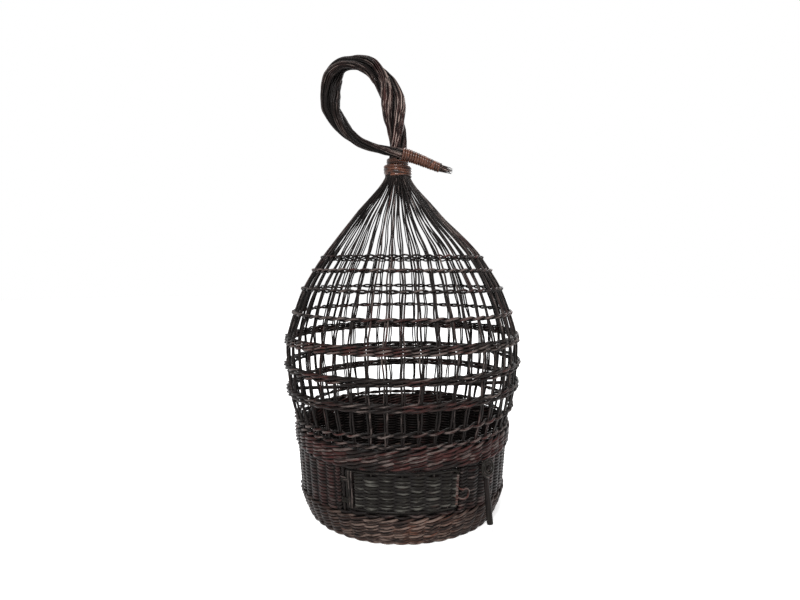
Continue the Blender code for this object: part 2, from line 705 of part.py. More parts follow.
def handle_line(count):
    """Evenly spaced places on the handle's smooth centre line, each with the bundle's radius."""
    base = NECK_HEIGHT + NECK_BINDING_RISE
    rows = [(HANDLE_SHARES[0][0], HANDLE_SHARES[0][1], -HANDLE_ROOT / HANDLE_RISE, HANDLE_SHARES[0][3])]
    rows += HANDLE_SHARES
    marks = [Vector((aside * HANDLE_RISE - NECK_SWAY, -forwards * HANDLE_RISE, base + up * HANDLE_RISE,
                     width * HANDLE_RADIUS)) for aside, forwards, up, width in rows]
    marks = [2 * marks[0] - marks[1]] + marks + [2 * marks[-1] - marks[-2]]
    fine = []
    for before, start, end, after in zip(marks, marks[1:], marks[2:], marks[3:]):
        for step in range(SMOOTH_STEPS):
            t = step / SMOOTH_STEPS
            fine.append((2 * start + (end - before) * t + (2 * before - 5 * start + 4 * end - after) * t ** 2
                         + (3 * start - before - 3 * end + after) * t ** 3) / 2)
    fine.append(marks[-2])
    lengths = [0]
    for start, end in zip(fine, fine[1:]):
        lengths.append(lengths[-1] + (end - start).xyz.length)
    line = []
    at = 0
    for point in range(count):
        wanted = lengths[-1] * point / (count - 1)
        while at < len(fine) - 2 and lengths[at + 1] < wanted:
            at += 1
        share = (wanted - lengths[at]) / (lengths[at + 1] - lengths[at])
        line.append(fine[at].lerp(fine[at + 1], share))
    return line


def frames_along(line):
    """Two directions square to a line of points, at each of its points."""
    frames = []
    for point in range(len(line)):
        ahead = line[min(point + 1, len(line) - 1)].xyz - line[max(point - 1, 0)].xyz
        first = ahead.cross(Vector((0, 1, 0))).normalized()
        frames.append((first, ahead.cross(first).normalized()))
    return frames


def handle(bark, cane):
    """The twisted bundle of the handle, and the cane wound round the neck and the handle's tail."""
    line = handle_line(HANDLE_POINTS)
    frames = frames_along(line)
    for strand in range(HANDLE_STRANDS):
        path = []
        widths = []
        for point, (place_and_radius, (first, second)) in enumerate(zip(line, frames)):
            packing = 1 / math.sin(math.pi / HANDLE_STRANDS)
            radius = place_and_radius.w / (1 + packing) - HANDLE_STRAND_GAP / 2
            offset = place_and_radius.w - radius
            angle = 2 * math.pi * (strand / HANDLE_STRANDS + HANDLE_TWISTS * point / (len(line) - 1))
            path.append(place_and_radius.xyz + offset * (first * math.cos(angle) + second * math.sin(angle)))
            widths.append(radius)
        rod(f"handle_strand_{strand + 1}", path, HANDLE_RADIUS, bark, widths, resolution=1)

    stake_top = NECK_HEIGHT + STAKE_TOP_SHARE * NECK_BINDING_RISE
    wide = NECK_RADIUS + STAKE_TIP_RADIUS + SEAT_GAP + NECK_CANE_RADIUS
    narrow = HANDLE_SHARES[0][3] * HANDLE_RADIUS + SEAT_GAP + NECK_CANE_RADIUS
    path = []
    for point in range(NECK_TURNS * NECK_POINTS + 1):
        share = point / (NECK_TURNS * NECK_POINTS)
        height = NECK_HEIGHT + 2 * NECK_CANE_RADIUS + share * (NECK_BINDING_RISE - 2 * NECK_CANE_RADIUS)
        drawn_in = min(1, max(0, (height - stake_top - 2 * NECK_CANE_RADIUS) / NECK_CANE_RADIUS))
        path.append(place(wide + (narrow - wide) * drawn_in, 2 * math.pi * point / NECK_POINTS, height))
    least_gap("neck_binding", path, NECK_CANE_RADIUS, NECK_POINTS)
    rod("neck_binding", path, NECK_CANE_RADIUS, cane, resolution=1)

    fine = handle_line(TAIL_TURNS * TAIL_POINTS * FINE_SAMPLES)
    fine_frames = frames_along(fine)
    first_share, last_share = TAIL_BOUND_SHARES
    path = []
    for point in range(TAIL_TURNS * TAIL_POINTS + 1):
        share = first_share + (last_share - first_share) * point / (TAIL_TURNS * TAIL_POINTS)
        at = round(share * (len(fine) - 1))
        first, second = fine_frames[at]
        angle = 2 * math.pi * point / TAIL_POINTS
        # The turns are drawn as straight runs, which would cut into the bundle if they were no wider
        reach = (fine[at].w + SEAT_GAP + TAIL_CANE_RADIUS) / math.cos(math.pi / TAIL_POINTS)
        path.append(fine[at].xyz + reach * (first * math.cos(angle) + second * math.sin(angle)))
    least_gap("tail_binding", path, TAIL_CANE_RADIUS, TAIL_POINTS)
    rod("tail_binding", path, TAIL_CANE_RADIUS, cane, resolution=1)


def main():
    """Builds every piece of the cage."""
    for old in list(bpy.data.objects):
        bpy.data.objects.remove(old, do_unlink=True)
    willow = material("stained willow", (0.075, 0.045, 0.035), 0.45)
    bark = material("dark bark", (0.045, 0.030, 0.026), 0.50)
    cane = material("copper brown cane", (0.190, 0.075, 0.040), 0.35)
    floor_and_foot(willow)
    shells = wall(willow)
    stakes(bark)
    hoops(willow)
    perch(bark)
    door(willow, bark, cane)
    peg = latch(bark, cane)
    cut_pin_hole(*shells, peg)
    handle(bark, cane)


main()
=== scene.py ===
"""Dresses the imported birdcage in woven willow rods, cane bindings and a plain studio."""

import json
import math

import bpy
import numpy as np
from bpy.props import FloatProperty, FloatVectorProperty, IntProperty, PointerProperty
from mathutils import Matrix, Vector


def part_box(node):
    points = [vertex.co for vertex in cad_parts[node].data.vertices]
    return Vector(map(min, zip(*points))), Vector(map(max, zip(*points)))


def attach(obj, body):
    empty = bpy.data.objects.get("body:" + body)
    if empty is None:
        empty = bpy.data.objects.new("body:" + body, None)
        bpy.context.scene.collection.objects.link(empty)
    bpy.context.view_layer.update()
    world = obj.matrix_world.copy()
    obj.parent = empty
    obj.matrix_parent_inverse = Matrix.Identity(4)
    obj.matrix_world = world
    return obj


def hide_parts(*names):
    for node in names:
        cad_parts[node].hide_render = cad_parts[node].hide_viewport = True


bl_info = {
    "name": "Woven birdcage",
    "version": (1, 0, 0),
    "blender": (4, 5, 0),
    "location": "3D View > Sidebar > Birdcage",
    "description": "Weaves a willow birdcage round its packed frame",
    "category": "Add Mesh",
}

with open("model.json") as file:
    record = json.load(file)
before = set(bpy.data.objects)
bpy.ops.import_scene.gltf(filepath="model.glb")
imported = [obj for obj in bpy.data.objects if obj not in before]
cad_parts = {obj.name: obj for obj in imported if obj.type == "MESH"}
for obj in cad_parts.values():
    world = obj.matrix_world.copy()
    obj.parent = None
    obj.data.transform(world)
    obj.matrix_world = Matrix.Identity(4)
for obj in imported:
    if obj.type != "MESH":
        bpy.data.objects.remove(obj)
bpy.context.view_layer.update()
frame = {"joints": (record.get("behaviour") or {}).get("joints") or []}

FULL_TURN = 2 * math.pi

# Each row: height above the wall as a share of the crown, radius as a share of the belly
CROWN_SHARES = (
    (0.100, 0.961), (0.245, 0.995), (0.330, 0.999), (0.447, 0.935), (0.541, 0.857), (0.664, 0.691),
    (0.855, 0.338),
)
# The neck leans a little to the left, from this share of the crown up to the other
SWAY_SHARES = (0.664, 0.855)
# How much of their slope the stakes keep where they run into the neck
NECK_SLOPE = 0.35

# Each row: height above the wall as a share of the crown, radius of a stake as a share of its fullest
CROWN_STAKE_SIZES = ((0.06, 1.0), (0.50, 0.95), (0.88, 0.86), (0.96, 0.74))

# Each row: sideways, forwards and upwards as shares of the rise, then bundle radius as a share
HANDLE_SHARES = (
    (0.000, 0.000, 0.000, 0.83), (0.000, 0.000, 0.132, 0.82), (-0.002, 0.000, 0.235, 0.83),
    (-0.009, 0.000, 0.328, 0.90), (-0.023, 0.000, 0.431, 1.00), (-0.042, 0.000, 0.543, 1.10),
    (-0.070, 0.000, 0.656, 1.10), (-0.112, 0.000, 0.763, 1.00), (-0.174, 0.000, 0.865, 0.87),
    (-0.263, 0.000, 0.950, 0.82), (-0.377, 0.000, 0.993, 0.72), (-0.491, 0.000, 1.000, 0.61),
    (-0.595, 0.000, 0.973, 0.68), (-0.670, 0.000, 0.893, 0.88), (-0.699, 0.000, 0.789, 0.94),
    (-0.702, 0.000, 0.677, 0.92), (-0.687, 0.000, 0.554, 0.88), (-0.639, 0.000, 0.441, 0.79),
    (-0.573, 0.011, 0.340, 0.67), (-0.492, 0.034, 0.247, 0.55), (-0.396, 0.070, 0.175, 0.46),
    (-0.284, 0.119, 0.125, 0.42), (-0.170, 0.167, 0.084, 0.41), (-0.068, 0.200, 0.052, 0.42),
    (0.023, 0.218, 0.029, 0.44), (0.104, 0.216, 0.007, 0.44), (0.185, 0.210, -0.019, 0.41),
    (0.267, 0.198, -0.049, 0.38), (0.348, 0.185, -0.079, 0.35), (0.431, 0.172, -0.107, 0.32),
    (0.555, 0.155, -0.141, 0.28),
)

# Space kept between rods that slide or turn past each other
SLIP = 0.00035

# Painted light of a rod on the stakes' line, on the outside and the inside of the cage, and where the
# inside begins; where it is low, painted shade takes over
OUTSIDE_PAINTED_LIGHT, INSIDE_PAINTED_LIGHT, INSIDE_FROM = 0.62, 0.50, -0.1

# Unevenness of the woven rods: length in stakes of its longest wave, and reach
LEVEL_WANDER = (11.0, 0.00022)
SWING_WANDER = (5.0, 0.00012)
ROW_WANDER = (9.0, 0.00018)

# Grain of the bark and the cane: waves in a metre along the rod and round it, and detail
PATCH_GRAIN = (26, 160, 2.0)
STREAK_GRAIN = (60, 700, 3.0)
# The wear's grain also lays the painted highlight streaks along the rods
WEAR_AND_HIGHLIGHT_GRAIN = (70, 450, 3.0)
CANE_LINES = (12, 700, 2.0)
CANE_STRETCHES = (60, 200, 2.0)
# Noise for the regions where patches lie, and how much the region, the rod and its grain have to say in it
REGION_NOISE = (17.0, 1.0)
REGION_SAY, ROD_SAY, GRAIN_SAY = 0.9, 0.16, 0.34
# Half the soft edge of a patch
PATCH_EDGE = 0.08
# From the middle of the front to where the foot's lighter, warmer colour ends, and how much of it is gone
# there: worn bark, with painted light from the front and below
WORN_AND_LIT_FRONT = (0.035, 0.100)
WORN_AND_LIT_LOSS = 0.80


def length(name, description, default):
    """A property that holds a length."""
    return FloatProperty(name=name, description=description, default=default, unit="LENGTH")


def colour(name, description, default):
    """A property that holds a colour."""
    return FloatVectorProperty(name=name, description=description, default=default, subtype="COLOR")


class BirdcageSizes(bpy.types.PropertyGroup):
    """Sizes of the cage's outline, rods and openings."""

    foot_radius: length("Foot radius", "Radius of the stakes at the floor", 0.117)
    sill_radius: length("Sill radius", "Radius of the stakes at the doorway's sill", 0.1296)
    wall_top_radius: length("Wall top radius", "Radius of the stakes over the close weave", 0.1352)
    belly_radius: length("Belly radius", "Widest radius of the stakes", 0.149)
    neck_radius: length("Neck radius", "Radius of the stakes where they are bound", 0.015)
    neck_sway: length("Neck sway", "How far the neck stands to the left", 0.0055)
    wall_height: length("Wall height", "Height of the close weave", 0.112)
    neck_height: length("Neck height", "Height at which the stakes are bound", 0.43)
    foot_height: length("Foot height", "Height of the plaited foot ring", 0.007)
    stake_count: IntProperty(name="Stakes", description="Uprights round the cage", default=48, min=12)
    stake_radius: length("Stake radius", "Radius of an upright at the wall", 0.0013)
    crown_stake_radius: length("Crown stake radius", "Radius of an upright in the open crown", 0.0019)
    stake_tip_radius: length("Stake tip radius", "Radius of an upright at the neck", 0.0009)
    weaver_radius: length("Weaver radius", "Half the height of the flat rods of the close weave", 0.00185)
    weaver_flatness: FloatProperty(
        name="Weaver flatness", description="Depth of a rod of the close weave as a share of its height",
        default=0.52)
    weave_reach: length("Weave reach", "How far the woven rods stand off the stakes' centre lines", 0.0036)
    wale_radius: length("Wale radius", "Radius of the rods of the hoops and borders", 0.0015)
    row_pitch: length("Row pitch", "Height from one row of the close weave to the next", 0.00185)
    sill_height: length("Sill height", "Lower edge of the doorway", 0.038)
    header_height: length("Header height", "Upper edge of the doorway", 0.088)
    post_step: IntProperty(
        name="Door posts", description="Stakes from the front to each of the door's posts", default=4)
    post_radius: length("Post radius", "Radius of the posts beside the door", 0.0018)
    door_rod_radius: length("Door rod radius", "Radius of the door's frame rods", 0.0016)
    perch_radius: length("Perch radius", "Radius of the perch", 0.0025)
    perch_reach: length("Perch reach", "Half the length of the perch", 0.1513)
    peg_radius: length("Peg radius", "Radius of the turning peg", 0.003)
    peg_length: length("Peg length", "Length of the turning peg", 0.07)
    binding_rise: length("Binding rise", "Height of the neck's binding", 0.02)
    handle_root: length("Handle root", "How far the handle reaches down into the neck", 0.024)
    handle_rise: length("Handle rise", "Scale of the handle above the neck", 0.124)
    handle_radius: length("Handle radius", "Radius of the handle's bundle at its thickest", 0.0155)


class BirdcageColours(bpy.types.PropertyGroup):
    """Colours of the bark, the cane and the cut wood."""

    # The darkest stain in the grain, and also the painted shade deep in the weave and on the rods' flanks
    stain_and_shade: colour("Shade", "Darkest stain, in the grain of the bark", (0.0074, 0.0061, 0.0058))
    bark: colour("Bark", "Stained bark of the stakes and the close weave", (0.0165, 0.0120, 0.0110))
    red_bark: colour("Red bark", "Reddish patches of the bark", (0.054, 0.0195, 0.0175))
    # Pale wear, and also the painted highlight streaks along the rods
    wear_and_painted_light: colour("Worn bark", "Pale worn patches of the bark", (0.110, 0.086, 0.078))
    # Pale wear and painted highlights of the lowest rods
    foot_wear_and_highlight: colour("Worn foot", "Pale worn patches of the lowest rods", (0.152, 0.108, 0.090))
    # Pale rods of the handle: wear, and painted highlight lines
    handle_wear_and_highlight: colour("Worn handle", "Pale worn rods of the handle", (0.330, 0.250, 0.220))
    # Grey worn wood of the door, and painted highlights on it
    door_wear_and_highlight: colour("Worn door", "Grey wood where the door's bark is worn", (0.100, 0.096, 0.084))
    door_bark: colour("Door bark", "Grey-green bark of the door's weave", (0.0165, 0.0150, 0.0122))
    # Lighter, warmer bark near the floor: worn bark, with painted light from the front and below
    foot_bark: colour("Foot bark", "Faded, warmer bark near the floor", (0.046, 0.0275, 0.0225))
    foot_patch: colour("Foot patches", "Copper-coloured bark of the lowest rods", (0.110, 0.050, 0.034))
    handle_bark: colour("Handle bark", "Bark of the handle's rods", (0.060, 0.0310, 0.0265))
    cane: colour("Cane", "Glossy copper-brown cane of the bindings", (0.120, 0.043, 0.023))
    edge_cane: colour("Edge cane", "Red cane on the door's free edge", (0.062, 0.025, 0.021))
    cut_wood: colour("Cut wood", "Cut ends of the rods", (0.13, 0.105, 0.085))
    floor: colour("Studio floor", "Colour of the floor", (0.86, 0.86, 0.86))


def cage():
    """The sizes of the cage."""
    return bpy.context.scene.birdcage_sizes


def spot(radius, turn, height):
    """Points at a radius and height, turned from the front towards the right."""
    parts = np.broadcast_arrays(radius * np.sin(turn), -radius * np.cos(turn), height)
    return np.stack(parts, axis=-1).astype(float)


def crown_height(share):
    """Height of a share of the crown."""
    sizes = cage()
    return sizes.wall_height + share * (sizes.neck_height - sizes.wall_height)


def stake_line(height):
    """Radius and outward slope of the stakes at each height."""
    sizes = cage()
    levels = [0, sizes.sill_height, sizes.wall_height]
    levels += [crown_height(up) for up, out in CROWN_SHARES] + [sizes.neck_height]
    radii = [sizes.foot_radius, sizes.sill_radius, sizes.wall_top_radius]
    radii += [sizes.belly_radius * out for up, out in CROWN_SHARES] + [sizes.neck_radius]
    levels = np.array(levels)
    radii = np.array(radii)
    height = np.asarray(height, dtype=float)
    slopes = np.gradient(radii, levels)
    # The stakes run straight past the doorway, and turn upright into the neck
    slopes[1:3] = (radii[2] - radii[1]) / (levels[2] - levels[1])
    slopes[-1] = NECK_SLOPE * slopes[-2]
    at = np.clip(np.searchsorted(levels, height, side="right") - 1, 0, len(levels) - 2)
    span = levels[at + 1] - levels[at]
    t = np.clip((height - levels[at]) / span, 0, 1)
    rise = radii[at + 1] - radii[at]
    start = slopes[at] * span
    end = slopes[at + 1] * span
    square = 3 * rise - 2 * start - end
    cube = start + end - 2 * rise
    radius = radii[at] + start * t + square * t ** 2 + cube * t ** 3
    return radius, (start + 2 * square * t + 3 * cube * t ** 2) / span


def sway(height):
    """How far the middle of the cage stands aside at each height, as a place."""
    start, end = (crown_height(share) for share in SWAY_SHARES)
    share = np.clip((np.asarray(height, dtype=float) - start) / (end - start), 0, 1)
    share = share * share * (3 - 2 * share)
    return np.multiply.outer(-cage().neck_sway * share, (1.0, 0.0, 0.0))


def off_stakes(turn, height, out):
    """Points on the stakes' surface at each turn and height, moved outwards square to the stakes."""
    radius, slope = stake_line(height)
    length_up = np.sqrt(1 + slope ** 2)
    return spot(radius + out / length_up, turn, height - out * slope / length_up) + sway(height)


def stake_step():
    """Angle from one stake to the next."""
    return FULL_TURN / cage().stake_count


def stake_thickness(height):
    """Radius of a stake at each height: full in the open crown, and thin where the neck draws it in."""
    sizes = cage()
    levels = [sizes.wall_height] + [crown_height(share) for share, size in CROWN_STAKE_SIZES]
    radii = [sizes.stake_radius] + [sizes.crown_stake_radius * size for share, size in CROWN_STAKE_SIZES]
    return np.interp(height, levels + [sizes.neck_height], radii + [sizes.stake_tip_radius])


def wander(rng, along, wave, reach):
    """A slow, uneven drift along a rod, at most about reach to either side."""
    drift = np.zeros(len(along))
    for order in (1, 2, 3):
        drift += np.sin(FULL_TURN * (along / (wave / order) + rng.random())) / order
    return reach * drift / 1.8


def smooth_line(marks, count, steps=24):
    """Evenly spaced points on a smooth curve through rows of numbers, whose first three are a place."""
    marks = np.array(marks, dtype=float)
    marks = np.vstack([2 * marks[0] - marks[1], marks, 2 * marks[-1] - marks[-2]])
    t = (np.arange(steps) / steps)[:, None]
    fine = []
    for before, start, end, after in zip(marks, marks[1:], marks[2:], marks[3:]):
        fine.append((2 * start + (end - before) * t + (2 * before - 5 * start + 4 * end - after) * t ** 2
                     + (3 * start - before - 3 * end + after) * t ** 3) / 2)
    fine = np.vstack(fine + [marks[-2:-1]])
    lengths = run_along(fine[:, :3])
    wanted = np.linspace(0, lengths[-1], count)
    return np.stack([np.interp(wanted, lengths, column) for column in fine.T], axis=1)


def run_along(path):
    """Length of a path up to each of its points."""
    return np.concatenate([[0], np.cumsum(np.linalg.norm(np.diff(path, axis=0), axis=1))])


def unit(vectors):
    """Vectors of length one."""
    return vectors / np.maximum(np.linalg.norm(vectors, axis=-1, keepdims=True), 1e-12)


def circled(angle, first, second):
    """Directions at an angle, turned from the first towards the second."""
    return first * np.cos(angle) + second * np.sin(angle)


def outward(path):
    """Level directions away from the cage's axis."""
    return unit(path * (1.0, 1.0, 0.0))


def painted_shading_of(points):
    """Painted light of a rod at each point: least on the stakes' line deep in the weave, where painted
    shade takes over, a little less inside the cage than outside, up to one on the outermost rods; and which
    side of it takes the painted light.
    """
    middle = points - sway(points[:, 2])
    offset = np.hypot(middle[:, 0], middle[:, 1]) - stake_line(points[:, 2])[0]
    offset = offset / (2 * cage().weave_reach)
    inside = offset < INSIDE_FROM
    share = np.where(inside, INSIDE_PAINTED_LIGHT - offset, OUTSIDE_PAINTED_LIGHT + offset)
    return np.clip(share, 0, 1), outward(middle) * np.where(inside, -1, 1)[:, None]


def carried_frames(path):
    """Two directions square to a path at each point, carried along it without twisting."""
    ahead = unit(np.gradient(path, axis=0))
    # Any start will do that lies across the first step
    first = np.cross(ahead[0], (0.31, 0.95, 0.05))
    sides = []
    for direction in ahead:
        first = first - direction * (first @ direction)
        first = first / np.linalg.norm(first)
        sides.append(first)
    sides = np.array(sides)
    return sides, np.cross(ahead, sides)


class Bundle:
    """Rods gathered for one mesh, each with the run of its grain, its tone, its painted light and shade,
    and its cut ends.
    """

    # How much painted shade a rod takes on its flanks, against the painted light on its ridge
    FLANK_SHADE = 0.30
    # How far the grain moves on from one rod to the next, and with a rod's tone
    ROD_SHIFT = 0.613
    TONE_SHIFT = 1.7

    def __init__(self, sides=6):
        self.sides = sides
        self.points = []
        self.grain = []
        self.tones = []
        self.painted_shading = []
        self.side_faces = []
        self.end_faces = []
        self.count = 0

    def add(self, path, thickness, tone=0.5, flatness=1.0, facing=None, domed=0.35, core=None):
        """Adds a rod along a path.

        flatness below one makes a flat cane, facing says which way is its back. core is the line that
        the rod is twisted round, with its radius, for rods that don't follow the cage's stakes: their
        painted light grows with the distance from it, so rods near it get painted shade.
        """
        path = np.asarray(path, dtype=float)
        total = len(path)
        thickness = np.broadcast_to(thickness, total)[:, None, None]
        if facing is None:
            first, second = carried_frames(path)
        else:
            ahead = unit(np.gradient(path, axis=0))
            second = unit(facing - ahead * np.sum(facing * ahead, axis=1, keepdims=True))
            first = np.cross(second, ahead)
        angles = FULL_TURN * np.arange(self.sides) / self.sides
        across = np.cos(angles)[None, :, None]
        upward = np.sin(angles)[None, :, None] * flatness
        rings = path[:, None, :] + thickness * (first[:, None, :] * across + second[:, None, :] * upward)
        run = run_along(path) + (self.ROD_SHIFT * len(self.tones) + self.TONE_SHIFT * tone)
        grain = np.empty((total, self.sides, 3))
        grain[..., 0] = run[:, None]
        grain[..., 1] = thickness[..., 0] * np.cos(angles)
        grain[..., 2] = thickness[..., 0] * np.sin(angles)
        self.grain += [grain.reshape(-1, 3), [[run[0], 0, 0], [run[-1], 0, 0]]]
        here = np.arange(self.sides)
        after = np.roll(here, -1)
        steps = self.count + np.arange(total - 1)[:, None] * self.sides
        quads = [steps + here, steps + after, steps + self.sides + after, steps + self.sides + here]
        self.side_faces.append(np.stack(quads, axis=-1).reshape(-1, 4))
        last_ring = (total - 1) * self.sides
        tips = []
        for end, inner, ring, order in ((0, 1, 0, -1), (-1, -2, last_ring, 1)):
            centre = self.count + total * self.sides + len(tips)
            tips.append(path[end] + unit(path[end] - path[inner]) * thickness[end, 0, 0] * domed)
            ring = self.count + ring
            fan = np.stack([ring + here, ring + after, np.full(self.sides, centre)], axis=1)
            self.end_faces.append(fan[:, ::order])
        self.points += [rings.reshape(-1, 3), tips]
        # A rod gets painted light on the ridge that faces away from what it lies on, and painted shade on
        # its flanks
        if core is None:
            share, away = painted_shading_of(path)
        else:
            away = path - core[:, :3]
            share = np.linalg.norm(away, axis=1) / core[:, 3]
            away = unit(away)
        ridge = np.sum(unit(rings - path[:, None, :]) * away[:, None, :], axis=-1)
        wear_and_painted_light = share[:, None] - self.FLANK_SHADE * (1 - ridge)
        self.painted_shading += [wear_and_painted_light.ravel(), share[[0, -1]]]
        added = total * self.sides + len(tips)
        self.tones.append(np.full(added, tone))
        self.count += added

    def made(self, name, bark, replaced=(), body="root", slot="weaving_rod", cut="cut wood"):
        """The finished piece, riding on a body and standing for CAD nodes."""
        points = np.vstack(self.points)
        quads = np.vstack(self.side_faces)
        fans = np.vstack(self.end_faces)
        mesh = bpy.data.meshes.new(name)
        mesh.vertices.add(len(points))
        mesh.vertices.foreach_set("co", points.ravel())
        corners = np.concatenate([quads.ravel(), fans.ravel()])
        mesh.loops.add(len(corners))
        mesh.loops.foreach_set("vertex_index", corners.astype(np.int32))
        starts = np.concatenate([4 * np.arange(len(quads)), 4 * len(quads) + 3 * np.arange(len(fans))])
        mesh.polygons.add(len(starts))
        mesh.polygons.foreach_set("loop_start", starts.astype(np.int32))
        slots = np.concatenate([np.zeros(len(quads)), np.ones(len(fans))])
        mesh.polygons.foreach_set("material_index", slots.astype(np.int32))
        mesh.polygons.foreach_set("use_smooth", np.ones(len(starts), dtype=bool))
        mesh.update(calc_edges=True)
        grain = mesh.attributes.new("grain", "FLOAT_VECTOR", "POINT")
        grain.data.foreach_set("vector", np.vstack(self.grain).ravel())
        # The rods' tone, and their painted light and shade, go to the mesh as attributes
        for key, values in (("tone", self.tones), ("painted_shading", self.painted_shading)):
            held = mesh.attributes.new(key, "FLOAT", "POINT")
            values = np.concatenate(values)
            held.data.foreach_set("value", values if key == "tone" else np.clip(values, 0, 1))
        looks = finishes()
        mesh.materials.append(looks[bark])
        mesh.materials.append(looks[cut])
        mesh.validate()
        piece = bpy.data.objects.new(name, mesh)
        bpy.context.scene.collection.objects.link(piece)
        bpy.context.view_layer.update()
        if replaced:
            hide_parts(*replaced)
        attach(piece, body)
        return piece


def lone_rod(name, bark, replaced, path, thickness, tone, sides=6, body="root", slot="cane", cut="cut wood",
             **shape):
    """A piece that is a single rod."""
    rod = Bundle(sides)
    rod.add(path, thickness, tone, **shape)
    return rod.made(name, bark, replaced, body, slot, cut)


class Nodes:
    """Adds nodes to a tree, in a row under its shader and in the order in which they are made."""

    SPACING = 220
    ROW = -400

    def __init__(self, tree):
        self.tree = tree

    def add(self, kind, sockets=None, **settings):
        """A node. Sockets take either a value or the socket that feeds them."""
        made = self.tree.nodes.new("ShaderNode" + kind)
        made.location = (self.SPACING * len(self.tree.nodes), self.ROW)
        for key, value in settings.items():
            setattr(made, key, value)
        self.feed(made, sockets or {})
        return made

    def feed(self, node, sockets):
        """Sets sockets of a node, or links them to the sockets that feed them."""
        for key, value in sockets.items():
            if isinstance(value, bpy.types.NodeSocket):
                self.tree.links.new(value, node.inputs[key])
            else:
                node.inputs[key].default_value = value

    def maths(self, operation, *values):
        """What an operation makes of its values."""
        return self.add("Math", dict(enumerate(values)), operation=operation).outputs[0]

    def place(self):
        """The place on the object."""
        return self.add("TexCoord").outputs["Object"]

    def attribute(self, name, output="Fac"):
        """An attribute of the mesh."""
        return self.add("Attribute", attribute_name=name).outputs[output]

    def noise(self, vector, scale, detail, **sockets):
        """Noise at a place."""
        sockets = {"Vector": vector, "Scale": scale, "Detail": detail, **sockets}
        return self.add("TexNoise", sockets).outputs["Fac"]

    def grain(self, run, round_about, detail):
        """Noise that follows each rod: run and round_about are its waves in a metre."""
        stretched = self.add("Mapping", {"Vector": self.attribute("grain", "Vector"),
                                         "Scale": (run, round_about, round_about)})
        return self.noise(stretched.outputs["Vector"], 1.0, detail, Roughness=0.6)

    def share(self, value, low, high, least=0.0, most=1.0):
        """A value drawn out from least to most between two levels."""
        return self.add("MapRange", {"Value": value, "From Min": low, "From Max": high, "To Min": least,
                                     "To Max": most}, interpolation_type="SMOOTHSTEP").outputs["Result"]

    def tint(self, share, under, over):
        """A colour that goes from under to over with a share."""
        ends = [end if isinstance(end, bpy.types.NodeSocket) else (*end, 1) for end in (under, over)]
        return self.add("Mix", {0: share, 6: ends[0], 7: ends[1]}, data_type="RGBA").outputs[2]

    def relief(self, height, strength, distance):
        """A normal that follows a height."""
        return self.add("Bump", {"Height": height, "Strength": strength,
                                 "Distance": distance}).outputs["Normal"]


def blank_finish(name):
    """A new material, its nodes and its shader."""
    finish = bpy.data.materials.new(name)
    finish.use_nodes = True
    return finish, Nodes(finish.node_tree), finish.node_tree.nodes["Principled BSDF"]


def willow(name, bark, patch, patch_level, wear_and_highlight_level, gloss, shaded_below=0.22, wear_and_highlight_colour=None, variety=0.10,
           worn_and_lit_front=False):
    """Stained bark: dark streaks along the rod, patches of another colour, pale wear that also paints
    highlight streaks, painted shade deep in the weave and on the rods' flanks, and a little varnish.

    patch_level and the wear level say how high the noise must be for a patch, or for wear with its painted
    highlights, gloss is the least roughness, the shade level how lit a place must be before it loses its
    painted shade, variety how much more some rods have wear and painted highlights than others, and the
    front switch keeps the foot's lighter colour, worn bark with painted light, to the middle of the front.
    """
    colours = bpy.context.scene.birdcage_colours
    nodes, shader = blank_finish(name)[1:]
    tone = nodes.attribute("tone")
    where = nodes.place()
    streaks = nodes.grain(*STREAK_GRAIN)
    # Patches lie in regions of the cage, on some rods more than on others
    leaning = nodes.maths("MULTIPLY_ADD", nodes.noise(where, *REGION_NOISE), REGION_SAY, -0.2)
    leaning = nodes.maths("MULTIPLY_ADD", tone, ROD_SAY, leaning)
    leaning = nodes.maths("MULTIPLY_ADD", nodes.grain(*PATCH_GRAIN), GRAIN_SAY, leaning)
    patched = nodes.share(leaning, patch_level - PATCH_EDGE, patch_level + PATCH_EDGE)
    look = nodes.tint(patched, bark, patch)
    look = nodes.tint(nodes.share(streaks, 0.60, 0.40), look, colours.stain_and_shade)
    tone_share = nodes.share(tone, 0.0, 1.0, -variety, variety)
    # Pale wear, which also stands for painted highlight streaks along the rods
    wear_and_highlight_at = nodes.maths("ADD", nodes.grain(*WEAR_AND_HIGHLIGHT_GRAIN), tone_share)
    wear_and_highlight_share = nodes.share(wear_and_highlight_at, wear_and_highlight_level, wear_and_highlight_level + 0.10, 0.0, 0.85)
    look = nodes.tint(wear_and_highlight_share, look, wear_and_highlight_colour or colours.wear_and_painted_light)
    # The foot's lighter, warmer colour, worn bark with painted light from the front, stays at the middle of
    # the front
    if worn_and_lit_front:
        aside = nodes.maths("ABSOLUTE", nodes.add("SeparateXYZ", {0: where}).outputs["X"])
        look = nodes.tint(nodes.share(aside, *WORN_AND_LIT_FRONT, 0.0, WORN_AND_LIT_LOSS), look, colours.bark)
    # Painted shade deep in the weave and on the rods' flanks, and the bark's colours where the painted
    # light is high
    unshaded_share = nodes.share(nodes.attribute("painted_shading"), shaded_below, shaded_below + 0.62)
    nodes.feed(shader, {
        "Base Color": nodes.tint(unshaded_share, colours.stain_and_shade, look),
        "Roughness": nodes.share(streaks, 0.35, 0.7, gloss + 0.12, gloss),
        "Normal": nodes.relief(streaks, 0.5, 0.00012),
        "Specular IOR Level": 0.06,
    })


